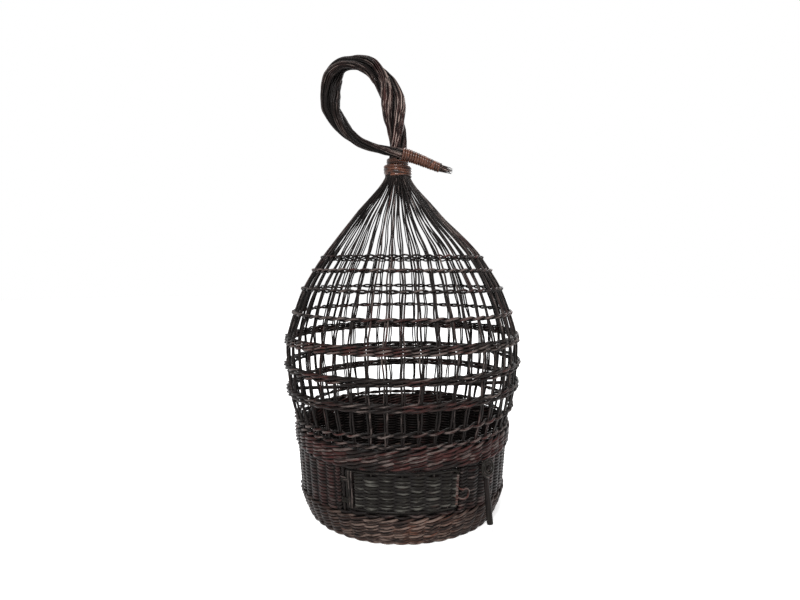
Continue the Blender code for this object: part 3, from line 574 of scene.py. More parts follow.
def glossy_cane(name, cane):
    """Split cane with a hard shine: fine lines along it and a few darker stretches."""
    colours = bpy.context.scene.birdcage_colours
    nodes, shader = blank_finish(name)[1:]
    lines = nodes.grain(*CANE_LINES)
    stretches = nodes.grain(*CANE_STRETCHES)
    look = nodes.tint(nodes.share(lines, 0.62, 0.40), cane, [channel * 0.38 for channel in cane])
    nodes.feed(shader, {
        "Base Color": nodes.tint(nodes.share(stretches, 0.50, 0.36, 0.0, 0.85), look, colours.stain_and_shade),
        "Roughness": nodes.share(lines, 0.3, 0.7, 0.34, 0.20),
        "Normal": nodes.relief(lines, 0.6, 0.0001),
        "Specular IOR Level": 0.15,
        "Coat Weight": 0.25,
        "Coat Roughness": 0.15,
    })


def cut_wood(name):
    """The pale pith and growth rings of a cut end."""
    colours = bpy.context.scene.birdcage_colours
    nodes, shader = blank_finish(name)[1:]
    specks = nodes.noise(nodes.place(), 2600.0, 3.0)
    nodes.feed(shader, {
        "Base Color": nodes.tint(nodes.share(specks, 0.4, 0.65), colours.cut_wood, colours.bark),
        "Roughness": nodes.share(specks, 0.3, 0.7, 0.6, 0.85),
    })


def finishes():
    """The materials of the cage by name, made once."""
    if "cut wood" not in bpy.data.materials:
        colours = bpy.context.scene.birdcage_colours
        red, copper = colours.red_bark, colours.foot_patch
        willow("stake bark", colours.bark, red, 0.66, 0.57, 0.26, 0.16)
        willow("weaver bark", colours.bark, red, 0.58, 0.59, 0.28, 0.38)
        willow("hoop bark", colours.bark, red, 0.55, 0.54, 0.25, 0.30)
        willow("header bark", colours.bark, red, 0.46, 0.55, 0.25, 0.36)
        willow("foot bark", colours.foot_bark, copper, 0.56, 0.53, 0.28, 0.36, colours.foot_wear_and_highlight,
               worn_and_lit_front=True)
        willow("door bark", colours.door_bark, red, 0.72, 0.54, 0.26, 0.36, colours.door_wear_and_highlight)
        willow("handle bark", colours.handle_bark, red, 0.48, 0.56, 0.24, 0.31, colours.handle_wear_and_highlight, 0.15)
        willow("red bark", red, copper, 0.62, 0.55, 0.26)
        willow("peg bark", colours.door_bark, colours.bark, 0.50, 0.66, 0.34)
        willow("dark cane", colours.door_bark, red, 0.76, 0.60, 0.26)
        willow("red cane", colours.edge_cane, copper, 0.60, 0.56, 0.26, 0.10)
        glossy_cane("copper cane", colours.cane)
        cut_wood("cut wood")
    return bpy.data.materials


class StudioStage(bpy.types.Operator):
    """Sets up the camera, the white floor and the soft lamps"""

    bl_idname = "birdcage.stage"
    bl_label = "Studio"

    CAMERA_PLACE = (-0.0026, -0.699, 0.3075)
    CAMERA_LENS = 23.85
    # How far the camera looks down, in degrees
    CAMERA_PITCH = 3.2
    # Each lamp: its name, place, width and power
    LAMPS = (
        ("key lamp", (-0.4, -1.6, 1.6), 0.6, 46), ("fill lamp", (1.2, -1.3, 0.7), 0.6, 8),
        ("top lamp", (0.1, 0.3, 2.0), 0.8, 20), ("back lamp", (0.5, 1.6, 1.1), 0.9, 9),
    )
    FLOOR_RADIUS = 6.0
    FLOOR_HEIGHT = -0.0004
    # Light of the world on the cage, where one is what the camera sees
    WORLD_LIGHT = 0.24

    def execute(self, context):
        scene = context.scene
        scene.view_settings.view_transform = "Standard"
        camera = bpy.data.objects.new("camera", bpy.data.cameras.new("camera"))
        camera.data.lens = self.CAMERA_LENS
        camera.data.clip_start = 0.01
        camera.location = self.CAMERA_PLACE
        camera.rotation_euler = (math.radians(90 - self.CAMERA_PITCH), 0, 0)
        scene.collection.objects.link(camera)
        scene.camera = camera
        self.add_floor(scene)
        for lamp in self.LAMPS:
            self.add_lamp(scene, *lamp)
        self.light_world(scene)
        return {"FINISHED"}

    def add_floor(self, scene):
        """The floor, a wide disc that brightens to white where nothing shades it."""
        finish, nodes, shader = blank_finish("studio floor")
        where = nodes.place()
        plain = scene.birdcage_colours.floor
        paler = [min(1.0, channel * 1.02) for channel in plain]
        from_middle = nodes.add("VectorMath", {0: where}, operation="LENGTH").outputs["Value"]
        level = nodes.share(from_middle, 0.3, 2.4, 0.60, 0.95)
        nodes.feed(shader, {
            "Base Color": nodes.tint(nodes.noise(where, 9.0, 2.0), plain, paler),
            "Roughness": 0.9,
            "Specular IOR Level": 0.1,
            "Emission Color": (1, 1, 1, 1),
            "Emission Strength": nodes.maths("MULTIPLY", self.seen_share(nodes), level),
        })
        edge = spot(self.FLOOR_RADIUS, np.linspace(0, FULL_TURN, 96, endpoint=False), self.FLOOR_HEIGHT)
        mesh = bpy.data.meshes.new("floor")
        mesh.from_pydata([tuple(point) for point in edge], [], [tuple(range(len(edge)))])
        mesh.materials.append(finish)
        floor = bpy.data.objects.new("floor", mesh)
        scene.collection.objects.link(floor)

    def seen_share(self, nodes):
        """One where the camera, a reflection or a clear material looks, and nothing for other light."""
        rays = nodes.add("LightPath").outputs
        either = nodes.maths("MAXIMUM", rays["Is Camera Ray"], rays["Is Glossy Ray"])
        return nodes.maths("MAXIMUM", either, rays["Is Transmission Ray"])

    def add_lamp(self, scene, name, place, width, power):
        """A soft square lamp that faces the middle of the cage."""
        light = bpy.data.lights.new(name, "AREA")
        light.size = width
        light.energy = power
        lamp = bpy.data.objects.new(name, light)
        aim = np.array((0, 0, cage().neck_height / 2)) - np.array(place)
        lamp.location = place
        lamp.rotation_euler = (math.atan2(math.hypot(aim[0], aim[1]), -aim[2]), 0,
                               math.atan2(aim[1], aim[0]) - math.pi / 2)
        scene.collection.objects.link(lamp)

    def light_world(self, scene):
        """A white world where it is seen, and a dimmer one for the light that it gives."""
        world = bpy.data.worlds.new("studio")
        world.use_nodes = True
        scene.world = world
        nodes = Nodes(world.node_tree)
        strength = nodes.add("MapRange", {"Value": self.seen_share(nodes), "To Min": self.WORLD_LIGHT,
                                          "To Max": 1.0}).outputs["Result"]
        nodes.feed(world.node_tree.nodes["Background"], {"Color": (1, 1, 1, 1), "Strength": strength})


class Stakes(bpy.types.Operator):
    """Stands the doubled uprights and the two door posts"""

    bl_idname = "birdcage.stakes"
    bl_label = "Stakes"

    # Over the header the posts end, and the pairs over them and over the doorway begin
    POST_TOP = 0.012
    OVER_POST = 0.008
    OVER_DOORWAY = 0.0004
    # How far all pairs reach over the neck
    OVER_NECK = 0.0110
    # Radius of the rods of a pair as a share of a stake's, how much of it they lose where they crowd at
    # the neck, and the height from which they do
    PAIR_SHARE = 0.61
    CROWDED_LOSS = 0.10
    CROWDED_FROM = 0.28
    # Unevenness of the pairs, as the length of its longest wave and its reach: sideways, apart and outwards
    PAIR_DRIFT = (0.12, 0.0013)
    ROD_PARTING = (0.085, 0.0010)
    ROD_DEPTH = (0.10, 0.0004)

    def execute(self, context):
        sizes = cage()
        rng = np.random.default_rng(4)
        rods = Bundle(sides=6)
        half = sizes.stake_count // 2
        for number in range(sizes.stake_count):
            place = (number + half) % sizes.stake_count - half
            turn = place * stake_step()
            low = sizes.foot_height * 0.4
            if abs(place) < sizes.post_step:
                low = sizes.header_height + self.OVER_DOORWAY
            if abs(place) == sizes.post_step:
                heights = np.linspace(low, sizes.header_height + self.POST_TOP, 24)
                beside = (heights > sizes.sill_height) & (heights < sizes.header_height)
                thickness = np.where(beside, sizes.post_radius, sizes.stake_radius)
                name, bark = ("hinge_post", "stake bark") if place < 0 else ("closing_post", "red bark")
                path = off_stakes(turn, heights, 0)
                lone_rod(f"{name}_rod", bark, (name,), path, thickness, rng.random(), sides=8,
                         slot="stake_rod")
                low = sizes.header_height + self.OVER_POST
            self.add_pair(rods, turn, low, rng)
        rods.made("stake_rods", "stake bark", [f"stakes_{number:02d}" for number in range(1, 25)],
                  slot="stake_rod")
        return {"FINISHED"}

    def add_pair(self, rods, turn, low, rng):
        """Two rods side by side: straight in the wall, a little uneven and apart in the open crown."""
        sizes = cage()
        top = sizes.neck_height + self.OVER_NECK
        heights = np.linspace(low, top, 64)
        radius = np.maximum(stake_line(heights)[0], 0.012)
        free = np.clip((heights - sizes.wall_height) / 0.03, 0, 1) * np.clip((top - heights) / 0.10, 0, 1)
        drift = free * (wander(rng, heights, *self.PAIR_DRIFT) + rng.normal(0, 0.0009))
        # Where the stakes crowd together under the neck, one rod of each pair lies over the other
        crowded = np.clip((heights - self.CROWDED_FROM) / 0.09, 0, 1)
        crowded = crowded * np.clip((sizes.neck_height - heights) / 0.025, 0, 1)
        for side in (-1, 1):
            share = self.PAIR_SHARE - self.CROWDED_LOSS * crowded
            thickness = stake_thickness(heights) * share * rng.uniform(0.92, 1.08)
            apart = side * (thickness * 0.92 + free * (0.0004 + wander(rng, heights, *self.ROD_PARTING)))
            out = side * (wander(rng, heights, *self.ROD_DEPTH) + 0.0010 * crowded)
            rods.add(off_stakes(turn + (drift + apart) / radius, heights, out), thickness, rng.random())


def woven_course(first, last, height, out, rise, phase, period, rng, points=5, tilt=0.0, lift=None):
    """A rod that passes in front of and behind the stakes from one to another.

    first and last count stakes, out is how far it swings to either side, rise how far it climbs
    over its neighbours, and period how many stakes it takes to come back to the same side.
    """
    at = np.linspace(first, last, int(round((last - first) * points)) + 1)
    turn = at * stake_step()
    swing = FULL_TURN * (at - phase) / period
    side = np.cos(swing)
    if period > 2:
        side = (1 + 4 * np.cos(swing)) / 3
    level = height + rise * np.sin(swing)
    if tilt:
        level = level + stake_line(height)[0] * np.sin(turn) * math.tan(math.radians(tilt))
    if lift is not None:
        level = level + lift(turn)
    level = level + wander(rng, at, *LEVEL_WANDER)
    return off_stakes(turn, level, out * side + wander(rng, at, *SWING_WANDER))


def wale(bundle, height, rods, out, rise, thickness, rng, tilt=0.0, lift=None, points=5, tone=None):
    """One row of two or three rods twined round the stakes all the way round the cage.

    tone makes the whole row lighter or darker, otherwise each rod has its own.
    """
    count = cage().stake_count
    for rod in range(rods):
        first = int(rng.integers(0, count)) + 0.4
        path = woven_course(first, first + count + 1.2, height, out, rise, rod, rods, rng, points, tilt,
                            lift)
        rod_thickness = thickness * rng.uniform(0.92, 1.06)
        own_tone = rng.random()
        bundle.add(path, rod_thickness, own_tone if tone is None else tone)


def weaver_swing():
    """How far the flat rods of the close weave swing to either side of the stakes' centre lines."""
    sizes = cage()
    return sizes.stake_radius + sizes.weaver_radius * sizes.weaver_flatness


def weaver_thickness(rng):
    """Half the height of one flat rod of the close weave."""
    return cage().weaver_radius * rng.uniform(0.95, 1.06)


def turned_row(bundle, start, end, turned, height, side, thickness, rng, wider=0.0):
    """A flat rod woven from one place to another, in front of and behind the stakes in turn.

    turned says at which of its ends, -1 and 1, it goes half-way round an edge rod, where the next row
    comes back. The rod at the start stands in a stake's place and may be wider. The one at the end may
    stand between two stakes, and the swing is drawn in to reach it in full.
    """
    sizes = cage()
    at = np.linspace(start, end, int(round((end - start) * 4)) + 1)
    folded = at
    if 1 in turned:
        whole = math.floor(end)
        folded = np.where(at > whole, whole + (at - whole) / max(end - whole, 0.01), at)
    level = height + wander(rng, at, *ROW_WANDER)
    path = off_stakes(at * stake_step(), level, weaver_swing() * np.cos(math.pi * (folded - side)))
    facing = outward(path)
    bends = np.linspace(0.0, 0.5 * math.pi, 5)[1:]
    for way in turned:
        edge, out = (start, weaver_swing() + wider) if way < 0 else (end, weaver_swing())
        at_edge = math.cos(math.pi * (math.ceil(edge) - side))
        climb = 0.5 * sizes.row_pitch * (way if side == 0 else -way)
        level = height + climb * np.sin(bends)
        turn = edge * stake_step() + way * out * np.sin(bends) / stake_line(height)[0]
        arc = off_stakes(turn, level, out * at_edge * np.cos(bends))
        arc_facing = (arc - off_stakes(edge * stake_step(), level, 0.0)) * at_edge
        path = np.vstack([arc[::-1], path] if way < 0 else [path, arc])
        facing = np.vstack([arc_facing[::-1], facing] if way < 0 else [facing, arc_facing])
    bundle.add(path, thickness, rng.random(), sizes.weaver_flatness, facing)


class Wall(bpy.types.Operator):
    """Weaves the foot ring and the close wall up to the crown"""

    bl_idname = "birdcage.wall"
    bl_label = "Wall"

    # Each row of the foot's plait: its height and how far its rods climb. Then their swing and radius
    FOOT_ROWS = ((0.0034, 0.0007), (0.0062, -0.0007))
    FOOT_SWING = 0.0021
    FOOT_ROD = 0.0018
    # Each band of three-rod rows: its name, its bark, how many rows, the lowest, from one to the next, how
    # far a rod climbs, and its swing and radius as shares of what a wale's rod needs and has
    BANDS = (
        ("foot_wale", "foot bark", 7, 0.0094, 0.0038, 0.0017, 0.86, 1.05),
        ("wall_wale", "header bark", 5, 0.0928, 0.0042, 0.0019, 0.90, 1.22),
    )
    # The palest row of the lower band, and its tone
    PALE_ROW = 1
    PALE_TONE = 1.3
    # The upper band goes up and down: how far, how often in a turn, and from where
    BAND_WAVES = (0.0011, 5, 0.8)
    # Lowest and highest row of the close weave
    WEAVE_HEIGHTS = (0.0352, 0.0902)
    # Distance from the hinge post to the edge rod
    EDGE_FROM_POST = 0.0056

    def execute(self, context):
        sizes = cage()
        rng = np.random.default_rng(7)
        clear = sizes.stake_radius + sizes.wale_radius
        foot = Bundle(sides=7)
        for height, rise in self.FOOT_ROWS:
            wale(foot, height, 3, self.FOOT_SWING, rise, self.FOOT_ROD, rng, points=6)
        foot.made("foot_plait", "foot bark", ("foot_border",))

        for name, bark, rows, lowest, pitch, rise, swing, size in self.BANDS:
            band = Bundle(sides=6)
            lower = name == "foot_wale"
            for number in range(rows):
                tone = self.PALE_TONE if lower and number == self.PALE_ROW else None
                wale(band, lowest + pitch * number, 3, clear * swing, rise, sizes.wale_radius * size, rng,
                     lift=None if lower else self.waves, tone=tone)
            band.made(name, bark)

        weave = Bundle(sides=5)
        self.weave_rows(weave, rng)
        weave.made("close_weave", "weaver bark", ("wall_weave_outer", "wall_weave_inner"))
        heights = np.linspace(sizes.foot_height, sizes.header_height + 0.006, 12)
        path = off_stakes(self.edge_place() * stake_step(), heights, 0)
        lone_rod("edge_rod", "stake bark", ("edge_stake",), path, sizes.stake_radius, 0.3, slot="stake_rod")
        return {"FINISHED"}

    def edge_place(self):
        """Where the rod stands that the weave turns round, counted in stakes from the front."""
        sizes = cage()
        radius = stake_line((sizes.sill_height + sizes.header_height) / 2)[0]
        return -sizes.post_step - self.EDGE_FROM_POST / (radius * stake_step())

    def waves(self, turn):
        """How far the upper band lies over its level."""
        reach, waves, start = self.BAND_WAVES
        return reach * np.sin(waves * turn + start)

    def weave_rows(self, weave, rng):
        """Rows of plain weave: whole ones under the doorway, and turned back at its sides beside it."""
        sizes = cage()
        count = sizes.stake_count
        lowest, highest = self.WEAVE_HEIGHTS
        rows = int((highest - lowest) / sizes.row_pitch)
        for row in range(rows):
            height = lowest + (highest - lowest) * row / (rows - 1)
            side = row % 2
            thickness = weaver_thickness(rng)
            if sizes.sill_height < height < sizes.header_height + 0.001:
                # From the closing post round the back to the edge rod beside the hinge, in two lengths
                first = sizes.post_step
                middle = first + int(rng.integers(10, 30)) + 0.5
                turned_row(weave, first, middle, (-1,), height, side, thickness, rng,
                           sizes.post_radius - sizes.stake_radius)
                turned_row(weave, middle, count + self.edge_place(), (1,), height, side, thickness, rng)
            else:
                first = int(rng.integers(0, count)) + 0.5
                path = woven_course(first, first + count + 1.0, height, weaver_swing(), 0.0, side, 2, rng,
                                    points=4)
                weave.add(path, thickness, rng.random(), sizes.weaver_flatness, outward(path))


class Hoops(bpy.types.Operator):
    """Twines the hoops of the open crown and lays the perch across it"""

    bl_idname = "birdcage.hoops"
    bl_label = "Hoops and perch"

    # Each hoop: its name, its nodes, its share of the crown, its slant in degrees, and its rows. Each
    # row: height from the hoop's middle, how many rods, and their radius as a share of a wale's rod
    HOOPS = (
        ("wall_top_twine", ("wall_top",), 0.012, 0.0, ((0.0, 2, 1.0),)),
        ("hoop_d_twine", ("band_d",), 0.058, 3.0, ((0.0, 2, 1.0),)),
        ("hoop_c_wale", ("band_c_1", "band_c_2"), 0.156, 1.5, ((-0.0023, 3, 1.0), (0.0024, 3, 0.95))),
        ("hoop_b_wale", ("band_b_1", "band_b_2"), 0.245, 0.7, ((-0.0030, 2, 1.0), (0.0017, 3, 1.0))),
        ("hoop_a_twine", ("band_a_1", "band_a_2"), 0.346, 0.5,
         ((-0.0034, 2, 0.95), (0.0, 2, 1.0), (0.0034, 2, 0.95))),
        ("ring_6_twine", ("ring_6",), 0.447, 0.0, ((0.0, 2, 1.0),)),
        ("ring_7_twine", ("ring_7",), 0.541, 0.0, ((0.0, 2, 0.9),)),
        ("ring_8_twine", ("ring_8",), 0.613, 0.0, ((0.0, 2, 0.85),)),
        ("ring_9_twine", ("ring_9",), 0.664, 0.0, ((0.0, 2, 0.8),)),
    )
    # How far a rod climbs over its neighbours
    RISE = 0.0013
    # The perch lies this far under hoop C and slants by so many degrees
    PERCH_SHARE = 0.156
    PERCH_DROP = 0.0078
    PERCH_TILT = 1.6
    # Knots of the perch as shares of its half length, with their width and height
    KNOTS = (-0.62, -0.1, 0.37, 0.8)
    KNOT_WIDTH = 0.018
    KNOT_RISE = 0.10

    def execute(self, context):
        rng = np.random.default_rng(11)
        for name, nodes, share, tilt, rows in self.HOOPS:
            hoop = Bundle(sides=6)
            height = crown_height(share)
            for offset, rods, rod_share in rows:
                thickness = cage().wale_radius * rod_share
                clear = (0.72 * stake_thickness(height) + thickness) * (0.92 if rods == 3 else 1.02)
                wale(hoop, height + offset, rods, clear, self.RISE * rod_share, thickness, rng, tilt)
            hoop.made(name, "hoop bark", nodes)
        self.add_perch()
        return {"FINISHED"}

    def add_perch(self):
        """The straight rod across the cage, with its knots and cut ends."""
        sizes = cage()
        height = crown_height(self.PERCH_SHARE) - self.PERCH_DROP
        along = np.linspace(-1, 1, 64)
        back = np.full(64, sizes.stake_radius + sizes.perch_radius + SLIP)
        level = height + sizes.perch_reach * along * math.tan(math.radians(self.PERCH_TILT))
        path = np.stack([sizes.perch_reach * along, back, level], axis=1)
        knots = 1 + self.KNOT_RISE * knotted(along, self.KNOTS, self.KNOT_WIDTH)
        lone_rod("perch_rod", "stake bark", ("perch",), path, sizes.perch_radius * 0.97 * knots, 0.2,
                 sides=12, slot="stake_rod", domed=0.15)


def knotted(along, knots, width):
    """One at each knot of a rod, and nothing away from them."""
    return np.exp(-((along[:, None] - np.array(knots)) / width) ** 2).sum(axis=1)


class Floor(bpy.types.Operator):
    """Lays the crossed floor sticks and weaves the floor over them"""

    bl_idname = "birdcage.floor"
    bl_label = "Floor"

    # Sticks: how many each way, from one to the next, their radius, and from the lower ones to the upper
    STICKS = 4
    STICK_PITCH = 0.011
    STICK_RADIUS = 0.00115
    STICK_LAYER = 0.0017
    # How far inside its node's box a rod's middle stays
    INSET = 0.0012
    RIBS = 24
    RIB_RADIUS = 0.0010
    # Woven rings: radius of the first, from one to the next, and their rods' radius and swing
    FIRST_RING = 0.003
    RING_PITCH = 0.00235
    RING_ROD = 0.00145
    RING_SWING = 0.00075
    BORDER_ROD = 0.0016
    # Turns of a ring, whose ends overlap a little
    RING_TURNS = FULL_TURN * 1.01

    def execute(self, context):
        rng = np.random.default_rng(3)
        sticks = Bundle(sides=8)
        low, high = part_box("base_sticks")
        for row in (0, 1):
            level = low[2] + self.INSET + self.STICK_LAYER * row
            for number in range(self.STICKS):
                aside = (number - (self.STICKS - 1) / 2) * self.STICK_PITCH
                half = math.sqrt((high[0] - self.INSET) ** 2 - aside ** 2)
                path = [np.linspace(-half, half, 24), np.full(24, aside), np.full(24, level)]
                path = np.stack(path, axis=1)
                sticks.add(path[:, (1, 0, 2)] if row else path, self.STICK_RADIUS, rng.random())
        sticks.made("floor_sticks", "stake bark", ("base_sticks",))

        low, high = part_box("base_weave")
        weave = Bundle(sides=5)
        middle = (low[2] + high[2]) / 2
        edge = high[0] - self.INSET
        for rib in range(self.RIBS):
            out = np.linspace(0.002 if rib % 2 else 0.010, edge, 20)
            path = spot(out, FULL_TURN * rib / self.RIBS, np.full(20, middle))
            weave.add(path, self.RIB_RADIUS, rng.random())
        radius = self.FIRST_RING
        ring = 0
        while radius < edge - 0.0006:
            turn = np.linspace(0, self.RING_TURNS, self.RIBS * (4 if radius > 0.03 else 3))
            start = rng.random() * FULL_TURN
            level = middle + self.RING_SWING * np.cos(self.RIBS / 2 * (turn + start) + math.pi * ring)
            weave.add(spot(radius, turn + start, level), self.RING_ROD, rng.random())
            radius += self.RING_PITCH
            ring += 1
        # A border rod closes the floor against the wall
        turn = np.linspace(0, self.RING_TURNS, 200)
        weave.add(spot(edge, turn, np.full(200, middle)), self.BORDER_ROD, 0.4)
        weave.made("floor_weave", "weaver bark", ("base_weave",))
        return {"FINISHED"}


class Door(bpy.types.Operator):
    """Makes the woven door, the cane ties it turns on and its loop"""

    bl_idname = "birdcage.door"
    bl_label = "Door"

    # Space over and under the door, beside the hinge post and beside the closing post
    RAIL_GAP = 0.0014
    HINGE_GAP = 0.0011
    FREE_GAP = 0.0028
    # Bend of the frame's rod: its reach, and where its knee lies as a share of that
    CORNER = 0.0035
    KNEE = 0.22
    # How far the rod's ends overlap on the lower rail, in radians
    OVERLAP = 0.06
    # How far inside the free upright the weave turns back
    WEAVE_INSET = 0.0009
    # Two more uprights at the hinge: how far in they stand, and their radius
    HINGE_RODS = ((0.0033, 0.0015), (0.0063, 0.0014))
    # Each tie: its name, its node and its share of the door's height. Then its cane's radius and its turns
    TIES = (("lower_tie", "hinge_tie_lower", 0.22), ("upper_tie", "hinge_tie_upper", 0.78))
    TIE_CANE = 0.0006
    TIE_TURNS = 4
    TIE_PITCH = 0.0014
    # Slack of the ties on the post that they turn on
    TIE_SLACK = 0.0004
    # Cane on the free edge: its turns, its radius, and how far aside and outwards it goes
    EDGE_TURNS = 23
    EDGE_CANE = 0.00105
    EDGE_ASIDE = 0.0013
    EDGE_OUT = 0.0031
    # Loop: its share of the door's height, how far it stands off the edge cane, its reach, half its height,
    # its bend and its cane's radius
    LOOP_SHARE = 0.42
    LOOP_OUT = 0.0034
    LOOP_REACH = 0.0110
    LOOP_HALF = 0.0055
    LOOP_BEND = 0.0030
    LOOP_CANE = 0.0011

    def execute(self, context):
        sizes = cage()
        rng = np.random.default_rng(19)
        low = sizes.sill_height + self.RAIL_GAP + sizes.door_rod_radius
        high = sizes.header_height - self.RAIL_GAP - sizes.door_rod_radius
        self.add_frame(low, high, rng)
        self.add_weave(low, high, rng)
        self.add_ties(low, high)
        self.add_edge_cane(low, high)
        self.add_loop(low + (high - low) * self.LOOP_SHARE)
        return {"FINISHED"}

    def upright_turn(self, side, height, inset=0.0):
        """Turn of the door's upright on one side, or of what lies inset from it."""
        sizes = cage()
        gap = self.HINGE_GAP if side < 0 else self.FREE_GAP
        from_post = sizes.post_radius + gap + sizes.door_rod_radius + inset
        return side * (sizes.post_step * stake_step() - from_post / stake_line(height)[0])

    def add_frame(self, low, high, rng):
        """One rod bent round the four sides, seven stakes, and two more uprights at the hinge."""
        sizes = cage()
        # Once round from the middle of the lower rail, with three points to a corner
        corners = [(0.0, low)]
        for height, side, upward in ((low, 1, 1), (high, 1, -1), (high, -1, -1), (low, -1, 1)):
            turn = self.upright_turn(side, height)
            bend = -side * self.CORNER / stake_line(height)[0]
            rise = upward * self.CORNER
            knee = (turn + bend * self.KNEE, height + rise * self.KNEE)
            run = [(turn + bend, height), knee, (turn, height + rise)]
            corners += run if side == upward else run[::-1]
        corners += [(0.0, low), (self.OVERLAP, low)]
        marks = []
        for (turn, height), (next_turn, next_height) in zip(corners, corners[1:]):
            pieces = 8 if abs(next_turn - turn) > 0.1 or abs(next_height - height) > 0.02 else 2
            for share in np.arange(pieces) / pieces:
                marks.append((turn + (next_turn - turn) * share, height + (next_height - height) * share))
        turns, heights = np.array(marks).T
        rods = Bundle(sides=8)
        rods.add(off_stakes(turns, heights, 0), sizes.door_rod_radius, 0.4)
        for place in range(1 - sizes.post_step, sizes.post_step):
            level = np.linspace(low, high, 12)
            rods.add(off_stakes(place * stake_step(), level, 0), sizes.stake_radius, rng.random())
        for inset, thickness in self.HINGE_RODS:
            level = np.linspace(low + 0.0005, high - 0.0005, 14)
            turn = self.upright_turn(-1, level, inset) + wander(rng, level, 0.06, 0.0003) / 0.13
            rods.add(off_stakes(turn, level, 0.0006), thickness, rng.random())
        rods.made("door_rods", "dark cane", ("door_frame",), "door", "stake_rod")

    def add_weave(self, low, high, rng):
        """Rows of plain weave that turn back round the outer stakes of the door."""
        sizes = cage()
        first = low + sizes.door_rod_radius + sizes.weaver_radius * 0.8
        last = high - sizes.door_rod_radius - sizes.weaver_radius * 0.8
        rows = int((last - first) / sizes.row_pitch)
        weave = Bundle(sides=6)
        for row in range(rows):
            height = first + (last - first) * row / (rows - 1)
            thickness = weaver_thickness(rng)
            end = self.upright_turn(1, height, self.WEAVE_INSET) / stake_step()
            turned_row(weave, 1 - sizes.post_step, end, (-1, 1), height, row % 2, thickness, rng)
        weave.made("door_weaving", "door bark", ("door_weave_outer", "door_weave_inner"), "door")

    def add_ties(self, low, high):
        """Cane wound round the hinge post and the door's upright, loose enough to turn on the post."""
        sizes = cage()
        around = 24
        turns = np.arange(self.TIE_TURNS * around + 1)
        angle = FULL_TURN * (turns + 0.5) / around
        at_door = (np.cos(angle) > 0)[:, None]
        reach = np.where(at_door, sizes.door_rod_radius + SLIP + self.TIE_CANE,
                         sizes.post_radius + self.TIE_SLACK + self.TIE_CANE)
        climb = self.TIE_PITCH * (turns / around - self.TIE_TURNS / 2)
        for name, node, share in self.TIES:
            height = low + (high - low) * share
            post = off_stakes(-sizes.post_step * stake_step(), height, 0)
            upright = off_stakes(self.upright_turn(-1, height), height, 0)
            up = unit(off_stakes(-sizes.post_step * stake_step(), height + 0.01, 0) - post)
            along = unit(upright - post)
            out = np.cross(along, up)
            path = np.where(at_door, upright, post) + reach * circled(angle[:, None], along, out)
            path = path + up * climb[:, None]
            lone_rod(name, "dark cane", (node,), path, self.TIE_CANE, share, body="door")

    def add_edge_cane(self, low, high):
        """Cane wound round the door's free upright from end to end."""
        around = 14
        count = self.EDGE_TURNS * around + 1
        heights = np.linspace(low + 0.004, high - 0.004, count)
        angle = FULL_TURN * np.arange(count) / around
        turn = self.upright_turn(1, heights) + self.EDGE_ASIDE * np.cos(angle) / stake_line(heights)[0]
        path = off_stakes(turn, heights, self.EDGE_OUT * np.sin(angle))
        lone_rod("door_edge_cane", "red cane", (), path, self.EDGE_CANE, 0.8, body="door")

    def add_loop(self, height):
        """The small loop on the free edge, which reaches over the closing post."""
        upright = self.upright_turn(1, height)
        radius = float(stake_line(height)[0])
        out = cage().stake_radius + SLIP + self.EDGE_OUT + self.LOOP_OUT
        near = self.LOOP_BEND / radius
        far = self.LOOP_REACH / radius
        half = [(0.0, self.LOOP_HALF, 0.0020), (near, self.LOOP_HALF, out),
                (far - near, self.LOOP_HALF, out), (far, 0.0028, out)]
        course = [(turn, -level, away) for turn, level, away in half] + half[::-1]
        marks = [off_stakes(upright + turn, height + level, away) for turn, level, away in course]
        lone_rod("door_loop", "red cane", ("door_pull",), smooth_line(marks, 60), self.LOOP_CANE, 0.6,
                 sides=8, body="door")


